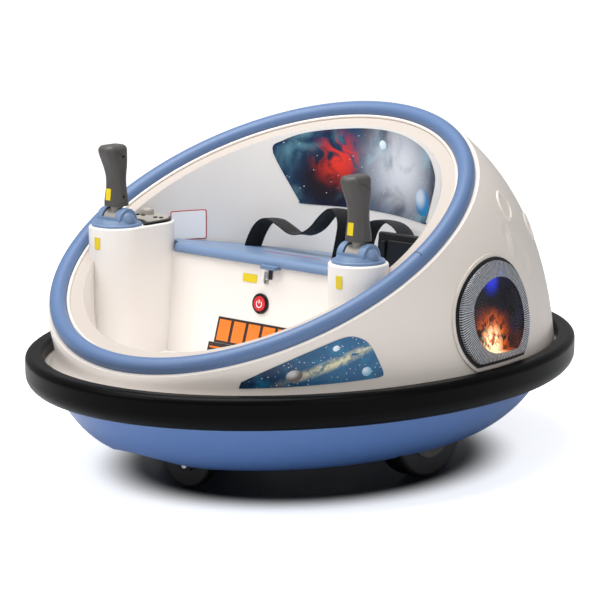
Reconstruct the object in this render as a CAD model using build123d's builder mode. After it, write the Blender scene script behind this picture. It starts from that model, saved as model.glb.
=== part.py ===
"""Child's battery bumper car: an oval ride-on with a soft bumper ring, two lever
controls, two driven wheels amidships and a free caster at each end.

Frame: millimetres, +Z up, floor at Z = 0, front towards -Y, the driver's left
towards +X, and the origin under the middle of the bumper ring.
"""
from build123d import *
from math import cos, hypot, radians, sin
import os

# ---------------------------------------------------------------- driving sizes
WALL = 5.0              # moulded wall of the shell, the hull and the tub
SEAT_GAP = 0.3          # gap between pieces that are pushed together
RUN_GAP = 6.0           # gap beside pieces that move

RING_A, RING_B = 370.0, 450.0      # outer half width and half length of the bumper
RING_DEPTH = 26.0                  # from its outer face to its inner face
RING_HEIGHT = 48.0
RING_TOP_ROUND, RING_FOOT_ROUND = 9.0, 20.0
RING_INNER_ROUND = 4.0
RING_CLEAR = 4.0                   # ring to the foot of the mouldings inside it
SEAM_Z = 150.0                     # where hull and shell meet, inside the ring
SEAM_A = RING_A - RING_DEPTH - RING_CLEAR   # half width and half length at that seam
SEAM_B = RING_B - RING_DEPTH - RING_CLEAR
FLANGE_REACH = 12.0                # both mouldings turn out into the ring's groove
FLANGE_THICK = 4.0

FAN_REACH = 36.0                   # fan line of the shell's sections, before the seam
FAN_Y = -(SEAM_B + FAN_REACH)      # that line runs along X at SEAM_Z
RIM_TILT = 27.93                   # slope of the rim, rising to the rear

# shell sections: tilt of the plane about the fan line, shift of the centre to the
# front, then how far half length and half width draw in from the seam's
SHELL_SECTIONS = [
    (0.0, 0.0, 0.0, 0.0),
    (9.31, 1.3, 19.0, 8.5),
    (18.62, 20.8, 45.9, 9.0),
    (RIM_TILT, 48.5, 82.0, 16.0),
]
RIM_CENTRE = -FAN_Y - SHELL_SECTIONS[-1][1]     # rim's centre from the fan line
RIM_A = SEAM_A - SHELL_SECTIONS[-1][3]
RIM_B = SEAM_B - SHELL_SECTIONS[-1][2]

# hull sections: height, then how far half width and half length draw in
HULL_SECTIONS = [
    (44.0, 88.0, 95.0),
    (60.0, 63.0, 62.0),
    (95.0, 30.0, 29.0),
    (SEAM_Z, 0.0, 0.0),
]
HULL_BOTTOM = HULL_SECTIONS[0][0]

TRIM_A, TRIM_B = RIM_A - 18.4, RIM_B - 17.6     # centre line of the foam trim
TRIM_WIDTH, TRIM_HEIGHT = 24.0, 17.0
LIP_LEDGE = 9.0                    # depth of the shell's stepped lip below the rim
LIP_THICK = 5.0

# the cockpit, inside the trim: plan's half width and half length, and its centre
TUB_A = TRIM_A - 37.6
TUB_B = TRIM_B * cos(radians(RIM_TILT)) - 33.1
TUB_Y = FAN_Y + RIM_CENTRE * cos(radians(RIM_TILT))
TUB_FLOOR = SEAM_Z - 10.0
TUB_ROUND = 65.0                   # floor to wall
TRIM_SEAM_Y = TUB_Y - 18.0         # where the trim's two halves meet
BENCH_FOOT_Y, BENCH_TOP_Y = TUB_Y + 1.0, TUB_Y + 18.0
BENCH_FRONT_Z, BENCH_REAR_Z = TUB_FLOOR + 150.0, TUB_FLOOR + 117.0
HATCH_X, HATCH_Y = 260.0, 120.0    # opening below the seat, over the battery
HATCH_PLACE_Y = 30.0
HATCH_CORNER = 12.0
TUB_CLEAR = 3.0                    # tub over the drive wells

SEAT_THICK = 14.0
SEAT_ROUND = 10.0                  # upper front edge
SEAT_LIP = 2.0                     # overhang past the bench front
SEAT_BOW = 4.0                     # forward bow of its front edge
SEAT_MARGIN = 5.0                  # clear of the cockpit wall
SEAT_LIFT_CLEAR = 6.0              # clear of the panel pillar
TAB_X, TAB_WIDTH, TAB_REACH, TAB_THICK = 8.5, 32.0, 9.0, 5.0
TAB_DROP, TAB_CORNER = 3.0, 4.0    # below the seat, clear of the bench front

PILLAR_X, PILLAR_Y = TUB_A - 30.5, TUB_Y - 60.6
PILLAR_R = 42.0
PILLAR_TOP = SEAM_Z + 185.0
PILLAR_LENGTH = 62.0               # the panel pillar runs back by this much
PILLAR_ROUND = 3.0

DOME_R = 37.5                      # flange of the lever's dome
DOME_FLANGE = 4.0
DOME_HEIGHT = 6.0
DOME_TOP_R = 29.0
CHEEK_R, CHEEK_SPAN = 19.0, 50.0
CHEEK_BULGE = 15.5                 # radius of the swelling on each cheek
PIVOT_RISE = 8.0                   # lever axis above the pillar top
PIVOT_R = 4.0
SLOT_FLOOR = 1.0                   # floor of the slot above the pillar top
SADDLE_R, SADDLE_WIDTH = 16.5, 24.0
SADDLE_SIDE = 1.5                  # clear of each cheek
STEM_R = 9.0
# grip sections: height, width along X, length along Y, place along Y
GRIP_SECTIONS = [
    (364.5, 33.0, 32.0, 0.0),
    (371.0, 33.0, 32.0, 0.0),
    (382.0, 31.0, 30.0, 0.0),
    (418.0, 30.5, 30.5, -1.0),
    (440.0, 32.0, 40.0, -5.0),
    (456.0, 32.0, 43.0, -6.5),
]
GRIP_CORNER = 12.0
GRIP_TOP_ROUND = 8.0
SCREW_HOLE_R, SCREW_HOLE_DEPTH = 2.4, 4.0
SCREW_HOLE_RISE = (14.0, 74.0)     # above the grip's foot

PANEL_INSET, PANEL_THICK = 4.0, 3.0     # the panel follows its pillar's rear end
PANEL_CORNER = 4.0
PANEL_GAP = 2.0                    # to the lever's dome
PANEL_BORDER = 4.0
FACE_THICK = 1.5
KNOB_R, KNOB_H = 9.0, 10.0
KNOB_AT = (-17.0, 20.5)            # from the pillar's rear centre
KEY_R, KEY_H = 3.2, 1.5
KEYS_AT = [(-24.5, 6.0), (-14.0, 7.0), (14.0, 5.0), (23.5, 8.0)]

BUTTON_X, BUTTON_Z = -11.5, 234.0
BEZEL_R, BEZEL_THICK = 15.0, 3.0
BUTTON_R, BUTTON_THICK = 11.0, 4.5
LATCH_X, LATCH_TALL, LATCH_WIDE, LATCH_THICK = -4.0, 18.0, 9.0, 1.6
LATCH_DROP = 9.0                   # its top below the bench top
STAPLE_R, STAPLE_HOLE_R, STAPLE_RISE = 3.9, 2.1, 3.0   # raised eye for a padlock

LAMP_Y = 25.0                      # crown of a lamp on the shell's side
LAMP_CROWN, LAMP_FOOT = SEAM_Z + 178.0, SEAM_Z + 27.0
# its front and rear halves: centre below the crown, reach, drop below the centre
LAMP_FORE = (66.0, 86.0, 97.0)
LAMP_AFT = (96.0, 100.0, 82.0)
LAMP_LIP, LAMP_LIP_RISE = 5.0, 3.0      # the shell's raised edge round the gasket
GASKET_WIDTH, GASKET_RISE = 5.0, 5.0
LENS_RISE, LENS_WALL = 9.0, 3.0
BOWL_DEPTH, BOWL_WALL = 22.0, 3.0

# moon craters moulded in both rear quarters: kind, place along, height, radius,
# rise or depth
CRATERS = [
    ("ring", 120.0, 385.0, 21.0, 1.8),
    ("dent", 96.0, 354.0, 15.0, 2.2),
    ("bump", 104.0, 330.0, 15.0, 2.2),
    ("dent", 152.0, 300.0, 22.0, 2.4),
    ("ring", 226.0, 338.0, 19.0, 1.8),
]
CRATER_RIM = 3.0                   # section radius of a raised ring

WHEEL_R, WHEEL_WIDTH, WHEEL_X = 75.0, 42.0, 222.0
TREAD_ROUND = 7.0
HUB_R, HUB_THICK, HUB_PROUD = 46.0, 8.0, 2.0
AXLE_R = 6.0
AXLE_FIT = 0.3
WELL_X0, WELL_X1 = 140.0, 252.0    # drive well, inner and outer side
WELL_CLEAR = 8.0
GEARBOX = (44.0, 112.0, 92.0)
GEARBOX_ROUND = 10.0
GEARBOX_BOSS_R = 24.0
BOSS_CLEAR = 2.0

CASTER_Y = 273.0
CASTER_WELL_R, CASTER_WELL_TOP = 90.0, 112.0
CASTER_R, CASTER_WIDTH = 35.0, 24.0
CASTER_TREAD_ROUND = 5.0
CASTER_TRAIL = 22.0
CASTER_TURN = {"front": -75.0, "rear": 0.0}     # as they rest, about their pivots
CASTER_AXLE_R = 4.0
PLATE_R, PLATE_THICK = 34.0, 4.0
KINGPIN_R = 6.0
FORK_WALL, FORK_GAP, FORK_TOP = 4.0, 3.0, 8.0
FORK_TOP_R, FORK_EYE_R = 26.0, 10.0

BATTERY = (151.0, 98.0, 94.0)
BATTERY_Y = 40.0

WEB_WIDTH, WEB_THICK = 38.0, 2.0
# loops of webbing that stand across the seat: place along the car, then distance
# across it and height over the seat
WEB_ROUTES = {
    "left": (90.0, [(33, -8), (37, 30), (48, 57), (72, 66), (104, 59), (122, 34), (126, -8)]),
    "right": (60.0, [(-163, -8), (-154, 28), (-129, 49), (-99, 38), (-70, 24), (-37, 36),
                     (-15, 64), (5, 77), (22, 58), (19, 26), (15, -8)]),
}
BUCKLE = (80.0, 17.0, 50.0)
BUCKLE_ROUND = 6.0
BUCKLE_PLACE = (129.0, 61.0)

# ------------------------------------------------------------------ derived places
FRONT = -1
REAR = 1
SIDES = {"left": 1, "right": -1}
ENDS = {"front": FRONT, "rear": REAR}
WHEEL_INNER_X = WHEEL_X - WHEEL_WIDTH / 2
RING_INNER_A, RING_INNER_B = RING_A - RING_DEPTH, RING_B - RING_DEPTH
WELL_TOP = 2 * WHEEL_R + WELL_CLEAR
WELL_HALF_Y = WHEEL_R + WELL_CLEAR
PIVOT_Z = PILLAR_TOP + PIVOT_RISE
BIG = 4 * max(RING_A, RING_B)


def fan_plane(tilt, distance):
    """Section plane of the shell, at a tilt about the fan line."""
    t = radians(tilt)
    origin = (0, FAN_Y + distance * cos(t), SEAM_Z + distance * sin(t))
    return Plane(origin=origin, x_dir=(1, 0, 0), z_dir=(0, -sin(t), cos(t)))


RIM = fan_plane(RIM_TILT, RIM_CENTRE)


def bench_height(y):
    """Height of the bench top under the seat."""
    rear = TUB_Y + TUB_B
    share = (y - BENCH_TOP_Y) / (rear - BENCH_TOP_Y)
    return BENCH_FRONT_Z + share * (BENCH_REAR_Z - BENCH_FRONT_Z)


def shell_body(inset):
    """Solid bounded by the shell's sections, drawn in by an inset."""
    with BuildPart(mode=Mode.PRIVATE) as body:
        for tilt, shift, short, narrow in SHELL_SECTIONS:
            with BuildSketch(fan_plane(tilt, -FAN_Y - shift)):
                Ellipse(SEAM_A - narrow - inset, SEAM_B - short - inset)
        loft()
    return body.part


def hull_body(inset):
    """Solid bounded by the hull's sections, drawn in by an inset, the floor too."""
    with BuildPart(mode=Mode.PRIVATE) as body:
        for height, narrow, short in HULL_SECTIONS:
            lift = inset if height == HULL_BOTTOM else 0
            with BuildSketch(Plane.XY.offset(height + lift)):
                Ellipse(SEAM_A - narrow - inset, SEAM_B - short - inset)
        loft()
    return body.part


def drive_well(bottom, top, margin):
    """Blocks over both drive wells between two heights, wider by a margin."""
    with BuildPart(mode=Mode.PRIVATE) as wells:
        with BuildSketch(Plane.XY.offset(bottom)):
            for side in SIDES.values():
                with Locations((side * (WELL_X0 + WELL_X1) / 2, 0)):
                    Rectangle(WELL_X1 - WELL_X0 + 2 * margin, 2 * (WELL_HALF_Y + margin))
        extrude(amount=top - bottom)
    return wells.part


def lamp_prism(side, margin):
    """Prism of the lamp's outline through the shell's side, drawn in by a margin."""
    fore_fall, fore_reach, fore_drop = LAMP_FORE
    aft_fall, aft_reach, aft_drop = LAMP_AFT
    fore = (LAMP_Y, LAMP_CROWN - fore_fall)
    aft = (LAMP_Y, LAMP_CROWN - aft_fall)
    with BuildPart(mode=Mode.PRIVATE) as prism:
        with BuildSketch(Plane.YZ.offset(side * SEAM_A / 2)):
            with BuildLine():
                EllipticalCenterArc(fore, fore_reach - margin, fore_fall - margin, 90, arc_size=90)
                EllipticalCenterArc(fore, fore_reach - margin, fore_drop - margin, 180, arc_size=90)
                Line((LAMP_Y, fore[1] - fore_drop + margin), (LAMP_Y, aft[1] - aft_drop + margin))
                EllipticalCenterArc(aft, aft_reach - margin, aft_drop - margin, 270, arc_size=90)
                EllipticalCenterArc(aft, aft_reach - margin, aft_fall - margin, 0, arc_size=90)
            make_face()
            with Locations((LAMP_Y, LAMP_FOOT + margin - BIG / 2)):
                Rectangle(BIG, BIG, mode=Mode.SUBTRACT)
        extrude(amount=side * SEAM_A)
    return prism.part


def crater_plane(body, side, along, height):
    """Plane on a body's side at one place, facing outwards."""
    ray = Axis((0, along, height), (side, 0, 0))
    hits = body.find_intersection_points(ray)
    point, normal = max(hits, key=lambda hit: side * hit[0].X)
    if normal.X * side < 0:
        normal = -normal
    return Plane(origin=point, z_dir=normal)


def save(part, label, colour):
    """Label a finished piece and write its STEP file."""
    part.label = label
    part.color = Color(colour)
    export_step(part, f"parts/{label}.step")


os.makedirs("parts", exist_ok=True)

BLUE, WHITE, BLACK, GREY = "#5b7fc0", "#f3efe6", "#1b1b1d", "#77787a"
SILVER, RED, CLEAR = "#b9bcc0", "#c8202a", "#c9d4dc"

# ---------------------------------------------------------------------- lower hull
with BuildPart() as lower_hull:
    add(hull_body(0))
    add(hull_body(WALL), mode=Mode.SUBTRACT)
    # seam flange, turned out into the ring's groove
    with BuildSketch(Plane.XY.offset(SEAM_Z - FLANGE_THICK)):
        Ellipse(SEAM_A + FLANGE_REACH, SEAM_B + FLANGE_REACH)
        Ellipse(SEAM_A - WALL, SEAM_B - WALL, mode=Mode.SUBTRACT)
    extrude(amount=FLANGE_THICK)
    # walls of the caster wells, kept inside the bowl
    with BuildPart(mode=Mode.PRIVATE) as caster_walls:
        with BuildSketch(Plane.XY.offset(HULL_BOTTOM)):
            with Locations((0, -CASTER_Y), (0, CASTER_Y)):
                Circle(CASTER_WELL_R + WALL)
        extrude(amount=CASTER_WELL_TOP + WALL - HULL_BOTTOM)
        add(hull_body(0), mode=Mode.INTERSECT)
    add(caster_walls.part)
    # walls of the two drive wells, inside the bowl up to the seam and upright above it
    with BuildPart(mode=Mode.PRIVATE) as drive_walls:
        add(drive_well(HULL_BOTTOM, SEAM_Z, WALL))
        add(hull_body(0), mode=Mode.INTERSECT)
        add(drive_well(SEAM_Z, WELL_TOP + WALL, WALL))
    add(drive_walls.part)
    # the wells themselves
    with BuildSketch(Plane.XY.offset(HULL_BOTTOM - WALL)):
        with Locations((0, -CASTER_Y), (0, CASTER_Y)):
            Circle(CASTER_WELL_R)
    extrude(amount=CASTER_WELL_TOP - HULL_BOTTOM + WALL, mode=Mode.SUBTRACT)
    add(drive_well(HULL_BOTTOM - WALL, WELL_TOP, 0), mode=Mode.SUBTRACT)
    with BuildSketch(Plane.XY.offset(CASTER_WELL_TOP)):
        with Locations((0, -CASTER_Y), (0, CASTER_Y)):
            Circle(KINGPIN_R + AXLE_FIT)
    extrude(amount=WALL, mode=Mode.SUBTRACT)
save(lower_hull.part, "lower_hull", BLUE)

# --------------------------------------------------------------------- bumper ring
with BuildPart() as bumper_ring:
    with BuildSketch(Plane.XY.offset(SEAM_Z - RING_HEIGHT / 2)):
        Ellipse(RING_A, RING_B)
        Ellipse(RING_INNER_A, RING_INNER_B, mode=Mode.SUBTRACT)
    extrude(amount=RING_HEIGHT)
    rims = bumper_ring.edges().filter_by(GeomType.ELLIPSE).sort_by(SortBy.LENGTH)
    outer = rims[-2:].sort_by(Axis.Z)
    fillet(outer[0], RING_FOOT_ROUND)
    rims = bumper_ring.edges().filter_by(GeomType.ELLIPSE).sort_by(SortBy.LENGTH)
    fillet(rims[-1], RING_TOP_ROUND)
    rims = bumper_ring.edges().filter_by(GeomType.ELLIPSE).sort_by(SortBy.LENGTH)
    fillet(rims[:2], RING_INNER_ROUND)
    with BuildSketch(Plane.XY.offset(SEAM_Z - FLANGE_THICK - SEAT_GAP)):
        Ellipse(SEAM_A + FLANGE_REACH + SEAT_GAP, SEAM_B + FLANGE_REACH + SEAT_GAP)
    extrude(amount=2 * (FLANGE_THICK + SEAT_GAP), mode=Mode.SUBTRACT)
save(bumper_ring.part, "bumper_ring", BLACK)

# --------------------------------------------------------------------- upper shell
with BuildPart() as upper_shell:
    add(shell_body(0))
    add(shell_body(WALL), mode=Mode.SUBTRACT)
    with BuildSketch(Plane.XY.offset(SEAM_Z)):
        Ellipse(SEAM_A + FLANGE_REACH, SEAM_B + FLANGE_REACH)
        Ellipse(SEAM_A - WALL, SEAM_B - WALL, mode=Mode.SUBTRACT)
    extrude(amount=FLANGE_THICK)
    # stepped lip that the tub's flange lies on
    with BuildSketch(RIM):
        Ellipse(RIM_A - 1, RIM_B - 1)
        Ellipse(TRIM_A - TRIM_WIDTH / 2, TRIM_B - TRIM_WIDTH / 2, mode=Mode.SUBTRACT)
    extrude(amount=-LIP_LEDGE)
    with BuildSketch(RIM):
        Ellipse(TRIM_A, TRIM_B)
    extrude(amount=-LIP_THICK, mode=Mode.SUBTRACT)
    # raised edges and openings for the lamps
    with BuildPart(mode=Mode.PRIVATE) as lamp_lips:
        add(shell_body(-LAMP_LIP_RISE))
        add(shell_body(1), mode=Mode.SUBTRACT)
        with BuildPart(mode=Mode.PRIVATE) as bands:
            for side in SIDES.values():
                add(lamp_prism(side, -LAMP_LIP))
                add(lamp_prism(side, 0), mode=Mode.SUBTRACT)
        add(bands.part, mode=Mode.INTERSECT)
    add(lamp_lips.part)
    for side in SIDES.values():
        add(lamp_prism(side, GASKET_WIDTH), mode=Mode.SUBTRACT)
    # craters, each on the surface where a line across the car meets it
    skin, core, cover = shell_body(0), shell_body(WALL / 2), shell_body(-WALL)
    for side in SIDES.values():
        for kind, along, height, radius, rise in CRATERS:
            place = crater_plane(skin, side, along, height)
            ball = (radius ** 2 + rise ** 2) / (2 * rise)
            if kind == "ring":
                with BuildPart(mode=Mode.PRIVATE) as mark:
                    with Locations(place.offset(rise - CRATER_RIM).location):
                        Torus(radius, CRATER_RIM)
                    add(core, mode=Mode.SUBTRACT)
                    add(cover, mode=Mode.INTERSECT)
                add(mark.part)
            elif kind == "bump":
                with BuildPart(mode=Mode.PRIVATE) as mark:
                    with Locations(place.offset(rise - ball).location):
                        Sphere(ball)
                    add(core, mode=Mode.SUBTRACT)
                    add(cover, mode=Mode.INTERSECT)
                add(mark.part)
            else:
                with Locations(place.offset(ball - rise).location):
                    Sphere(ball, mode=Mode.SUBTRACT)
save(upper_shell.part, "upper_shell", WHITE)

# -------------------------------------------------------------------- cockpit tub
bench_rear_y = TUB_Y + TUB_B + TUB_ROUND


def bench_block(inset, bottom):
    """The bench under the seat as a wedge, drawn in by an inset."""
    with BuildPart(mode=Mode.PRIVATE) as block:
        with BuildSketch(Plane.YZ.offset(-BIG / 2)):
            with BuildLine():
                Polyline(
                    (BENCH_FOOT_Y + inset, bottom),
                    (BENCH_FOOT_Y + inset, TUB_FLOOR),
                    (BENCH_TOP_Y + inset, BENCH_FRONT_Z - inset),
                    (bench_rear_y, bench_height(bench_rear_y) - inset),
                    (bench_rear_y, bottom),
                    close=True,
                )
            make_face()
        extrude(amount=BIG)
    return block.part


def oval_bowl(grow, bottom, rounding):
    """Upright oval cylinder with a rounded foot, for the cockpit's inside or outside."""
    with BuildPart(mode=Mode.PRIVATE) as bowl:
        with BuildSketch(Plane.XY.offset(bottom)):
            with Locations((0, TUB_Y)):
                Ellipse(TUB_A + grow, TUB_B + grow)
        extrude(amount=BIG / 2)
        fillet(bowl.edges().sort_by(Axis.Z)[0], rounding)
    return bowl.part


def pillar_body(side, radius, bottom, top):
    """A lever pillar; the right one runs back to carry the control panel."""
    length = PILLAR_LENGTH if side < 0 else 0
    with BuildPart(mode=Mode.PRIVATE) as pillar:
        with BuildSketch(Plane.XY.offset(bottom)):
            with Locations((side * PILLAR_X, PILLAR_Y)):
                Circle(radius)
            if length:
                with Locations((side * PILLAR_X, PILLAR_Y + length / 2)):
                    SlotCenterToCenter(length, 2 * radius, rotation=90)
        extrude(amount=top - bottom)
        fillet(pillar.edges().group_by(Axis.Z)[-1], PILLAR_ROUND)
    return pillar.part


with BuildPart() as cockpit_tub:
    add(oval_bowl(WALL, TUB_FLOOR - WALL, TUB_ROUND + WALL))
    # everything above the rim's plane goes, then the flange and the pillars come on
    with BuildSketch(RIM):
        Rectangle(BIG, BIG)
    extrude(amount=BIG / 2, mode=Mode.SUBTRACT)
    with BuildSketch(RIM):
        Ellipse(TRIM_A - SEAT_GAP, TRIM_B - SEAT_GAP)
    extrude(amount=-LIP_THICK)
    pillars = [pillar_body(side, PILLAR_R, TUB_FLOOR, PILLAR_TOP) for side in SIDES.values()]
    add(pillars)
    with BuildPart(mode=Mode.PRIVATE) as cavity:
        add(oval_bowl(0, TUB_FLOOR, TUB_ROUND))
        add(bench_block(0, 0), mode=Mode.SUBTRACT)
        add(pillars, mode=Mode.SUBTRACT)
    add(cavity.part, mode=Mode.SUBTRACT)
    # hollow below the bench and in the pillars, open underneath
    with BuildPart(mode=Mode.PRIVATE) as below:
        with BuildSketch():
            with Locations((0, TUB_Y)):
                Ellipse(TUB_A, TUB_B)
        extrude(amount=BIG / 2)
        add(bench_block(WALL, 0), mode=Mode.INTERSECT)
    add(below.part, mode=Mode.SUBTRACT)
    for side in SIDES.values():
        add(pillar_body(side, PILLAR_R - WALL, 0, PILLAR_TOP - WALL), mode=Mode.SUBTRACT)
    # battery hatch, and room for the drive wells
    with BuildSketch(Plane.XY.offset(TUB_FLOOR + WALL)):
        with Locations((0, HATCH_PLACE_Y)):
            RectangleRounded(HATCH_X, HATCH_Y, HATCH_CORNER)
    extrude(amount=BIG / 4, mode=Mode.SUBTRACT)
    add(drive_well(0, WELL_TOP + WALL + TUB_CLEAR, WALL + TUB_CLEAR), mode=Mode.SUBTRACT)
save(cockpit_tub.part, "cockpit_tub", WHITE)

# ----------------------------------------------------------------------- rim trim
with BuildPart() as rim_trim:
    with BuildSketch(RIM):
        Ellipse(TRIM_A + TRIM_WIDTH / 2, TRIM_B + TRIM_WIDTH / 2)
        Ellipse(TRIM_A - TRIM_WIDTH / 2, TRIM_B - TRIM_WIDTH / 2, mode=Mode.SUBTRACT)
    extrude(amount=TRIM_HEIGHT)
    top_edges = [e for e in rim_trim.edges().filter_by(GeomType.ELLIPSE)
                 if RIM.to_local_coords(e.center()).Z > TRIM_HEIGHT / 2]
    fillet(top_edges, TRIM_WIDTH / 2 - 0.6)
seam_plane = Plane.XZ.offset(-TRIM_SEAM_Y)
for name, keep in (("rim_trim_front", Keep.TOP), ("rim_trim_rear", Keep.BOTTOM)):
    with BuildPart() as trim_half:
        add(rim_trim.part)
        split(bisect_by=seam_plane, keep=keep)
    save(trim_half.part, name, BLUE)

# --------------------------------------------------------------------- seat panel


def on_bench_face(x, z):
    """Plane on the bench's sloping front, facing the foot well."""
    run, rise = BENCH_TOP_Y - BENCH_FOOT_Y, BENCH_FRONT_Z - TUB_FLOOR
    y = BENCH_FOOT_Y + run * (z - TUB_FLOOR) / rise
    slope = hypot(run, rise)
    return Plane(origin=(x, y, z), x_dir=(1, 0, 0), z_dir=(0, -rise / slope, run / slope))


seat_front = BENCH_TOP_Y - SEAT_LIP
with BuildPart() as seat_panel:
    with BuildSketch(Plane.YZ.offset(-BIG / 2)):
        with BuildLine():
            front, rear = seat_front - 2 * SEAT_BOW, TUB_Y + TUB_B
            Polyline(
                (front, bench_height(front)),
                (front, bench_height(front) + SEAT_THICK),
                (rear, bench_height(rear) + SEAT_THICK),
                (rear, bench_height(rear)),
                close=True,
            )
        make_face()
    extrude(amount=BIG)
    # plan of the panel: the cockpit's oval behind a bowed front edge
    with BuildPart(mode=Mode.PRIVATE) as plan:
        with BuildSketch():
            with Locations((0, TUB_Y)):
                Ellipse(TUB_A - SEAT_MARGIN, TUB_B - SEAT_MARGIN)
            with BuildLine():
                ThreePointArc((-TUB_A, seat_front), (0, seat_front - SEAT_BOW), (TUB_A, seat_front))
                Polyline((TUB_A, seat_front), (TUB_A, -BIG), (-TUB_A, -BIG), (-TUB_A, seat_front))
            make_face(mode=Mode.SUBTRACT)
        extrude(amount=BIG / 2)
        add(pillar_body(SIDES["right"], PILLAR_R + SEAT_LIFT_CLEAR, 0, BIG / 2), mode=Mode.SUBTRACT)
    add(plan.part, mode=Mode.INTERSECT)
    fillet(seat_panel.faces().sort_by(Axis.Y)[0].edges().sort_by(Axis.Z)[-1], SEAT_ROUND)
    # finger tab below the front edge, ahead of the bench
    tab_y = seat_front - SEAT_BOW
    with BuildSketch(Plane.XY.offset(bench_height(tab_y) - TAB_DROP)):
        with Locations((TAB_X, tab_y + TAB_DROP)):
            Rectangle(TAB_WIDTH, TAB_REACH + TAB_DROP, align=(Align.CENTER, Align.MAX))
        fillet(vertices().group_by(Axis.Y)[0], TAB_CORNER)
    extrude(amount=TAB_THICK)
save(seat_panel.part, "seat_panel", BLUE)

with BuildPart() as seat_latch:
    latch_plane = on_bench_face(LATCH_X, BENCH_FRONT_Z - LATCH_DROP - LATCH_TALL / 2)
    with BuildSketch(latch_plane):
        Rectangle(LATCH_WIDE, LATCH_TALL)
        fillet(vertices().group_by(Axis.Y)[0], LATCH_WIDE / 2 - SEAT_GAP)
    extrude(amount=LATCH_THICK)
    eye = (0, (LATCH_WIDE - LATCH_TALL) / 2)
    with BuildSketch(latch_plane):
        with Locations(eye):
            Circle(STAPLE_R)
    extrude(amount=STAPLE_RISE)
    with BuildSketch(latch_plane):
        with Locations(eye):
            Circle(STAPLE_HOLE_R)
    extrude(amount=STAPLE_RISE, mode=Mode.SUBTRACT)
save(seat_latch.part, "seat_latch", SILVER)

# ------------------------------------------------------------------- power switch
with BuildPart() as power_bezel:
    with BuildSketch(on_bench_face(BUTTON_X, BUTTON_Z)):
        Circle(BEZEL_R)
        Circle(BUTTON_R + SEAT_GAP, mode=Mode.SUBTRACT)
    extrude(amount=BEZEL_THICK)
save(power_bezel.part, "power_bezel", BLACK)

with BuildPart() as power_button:
    with BuildSketch(on_bench_face(BUTTON_X, BUTTON_Z)):
        Circle(BUTTON_R)
    extrude(amount=BUTTON_THICK)
save(power_button.part, "power_button", RED)

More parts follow.
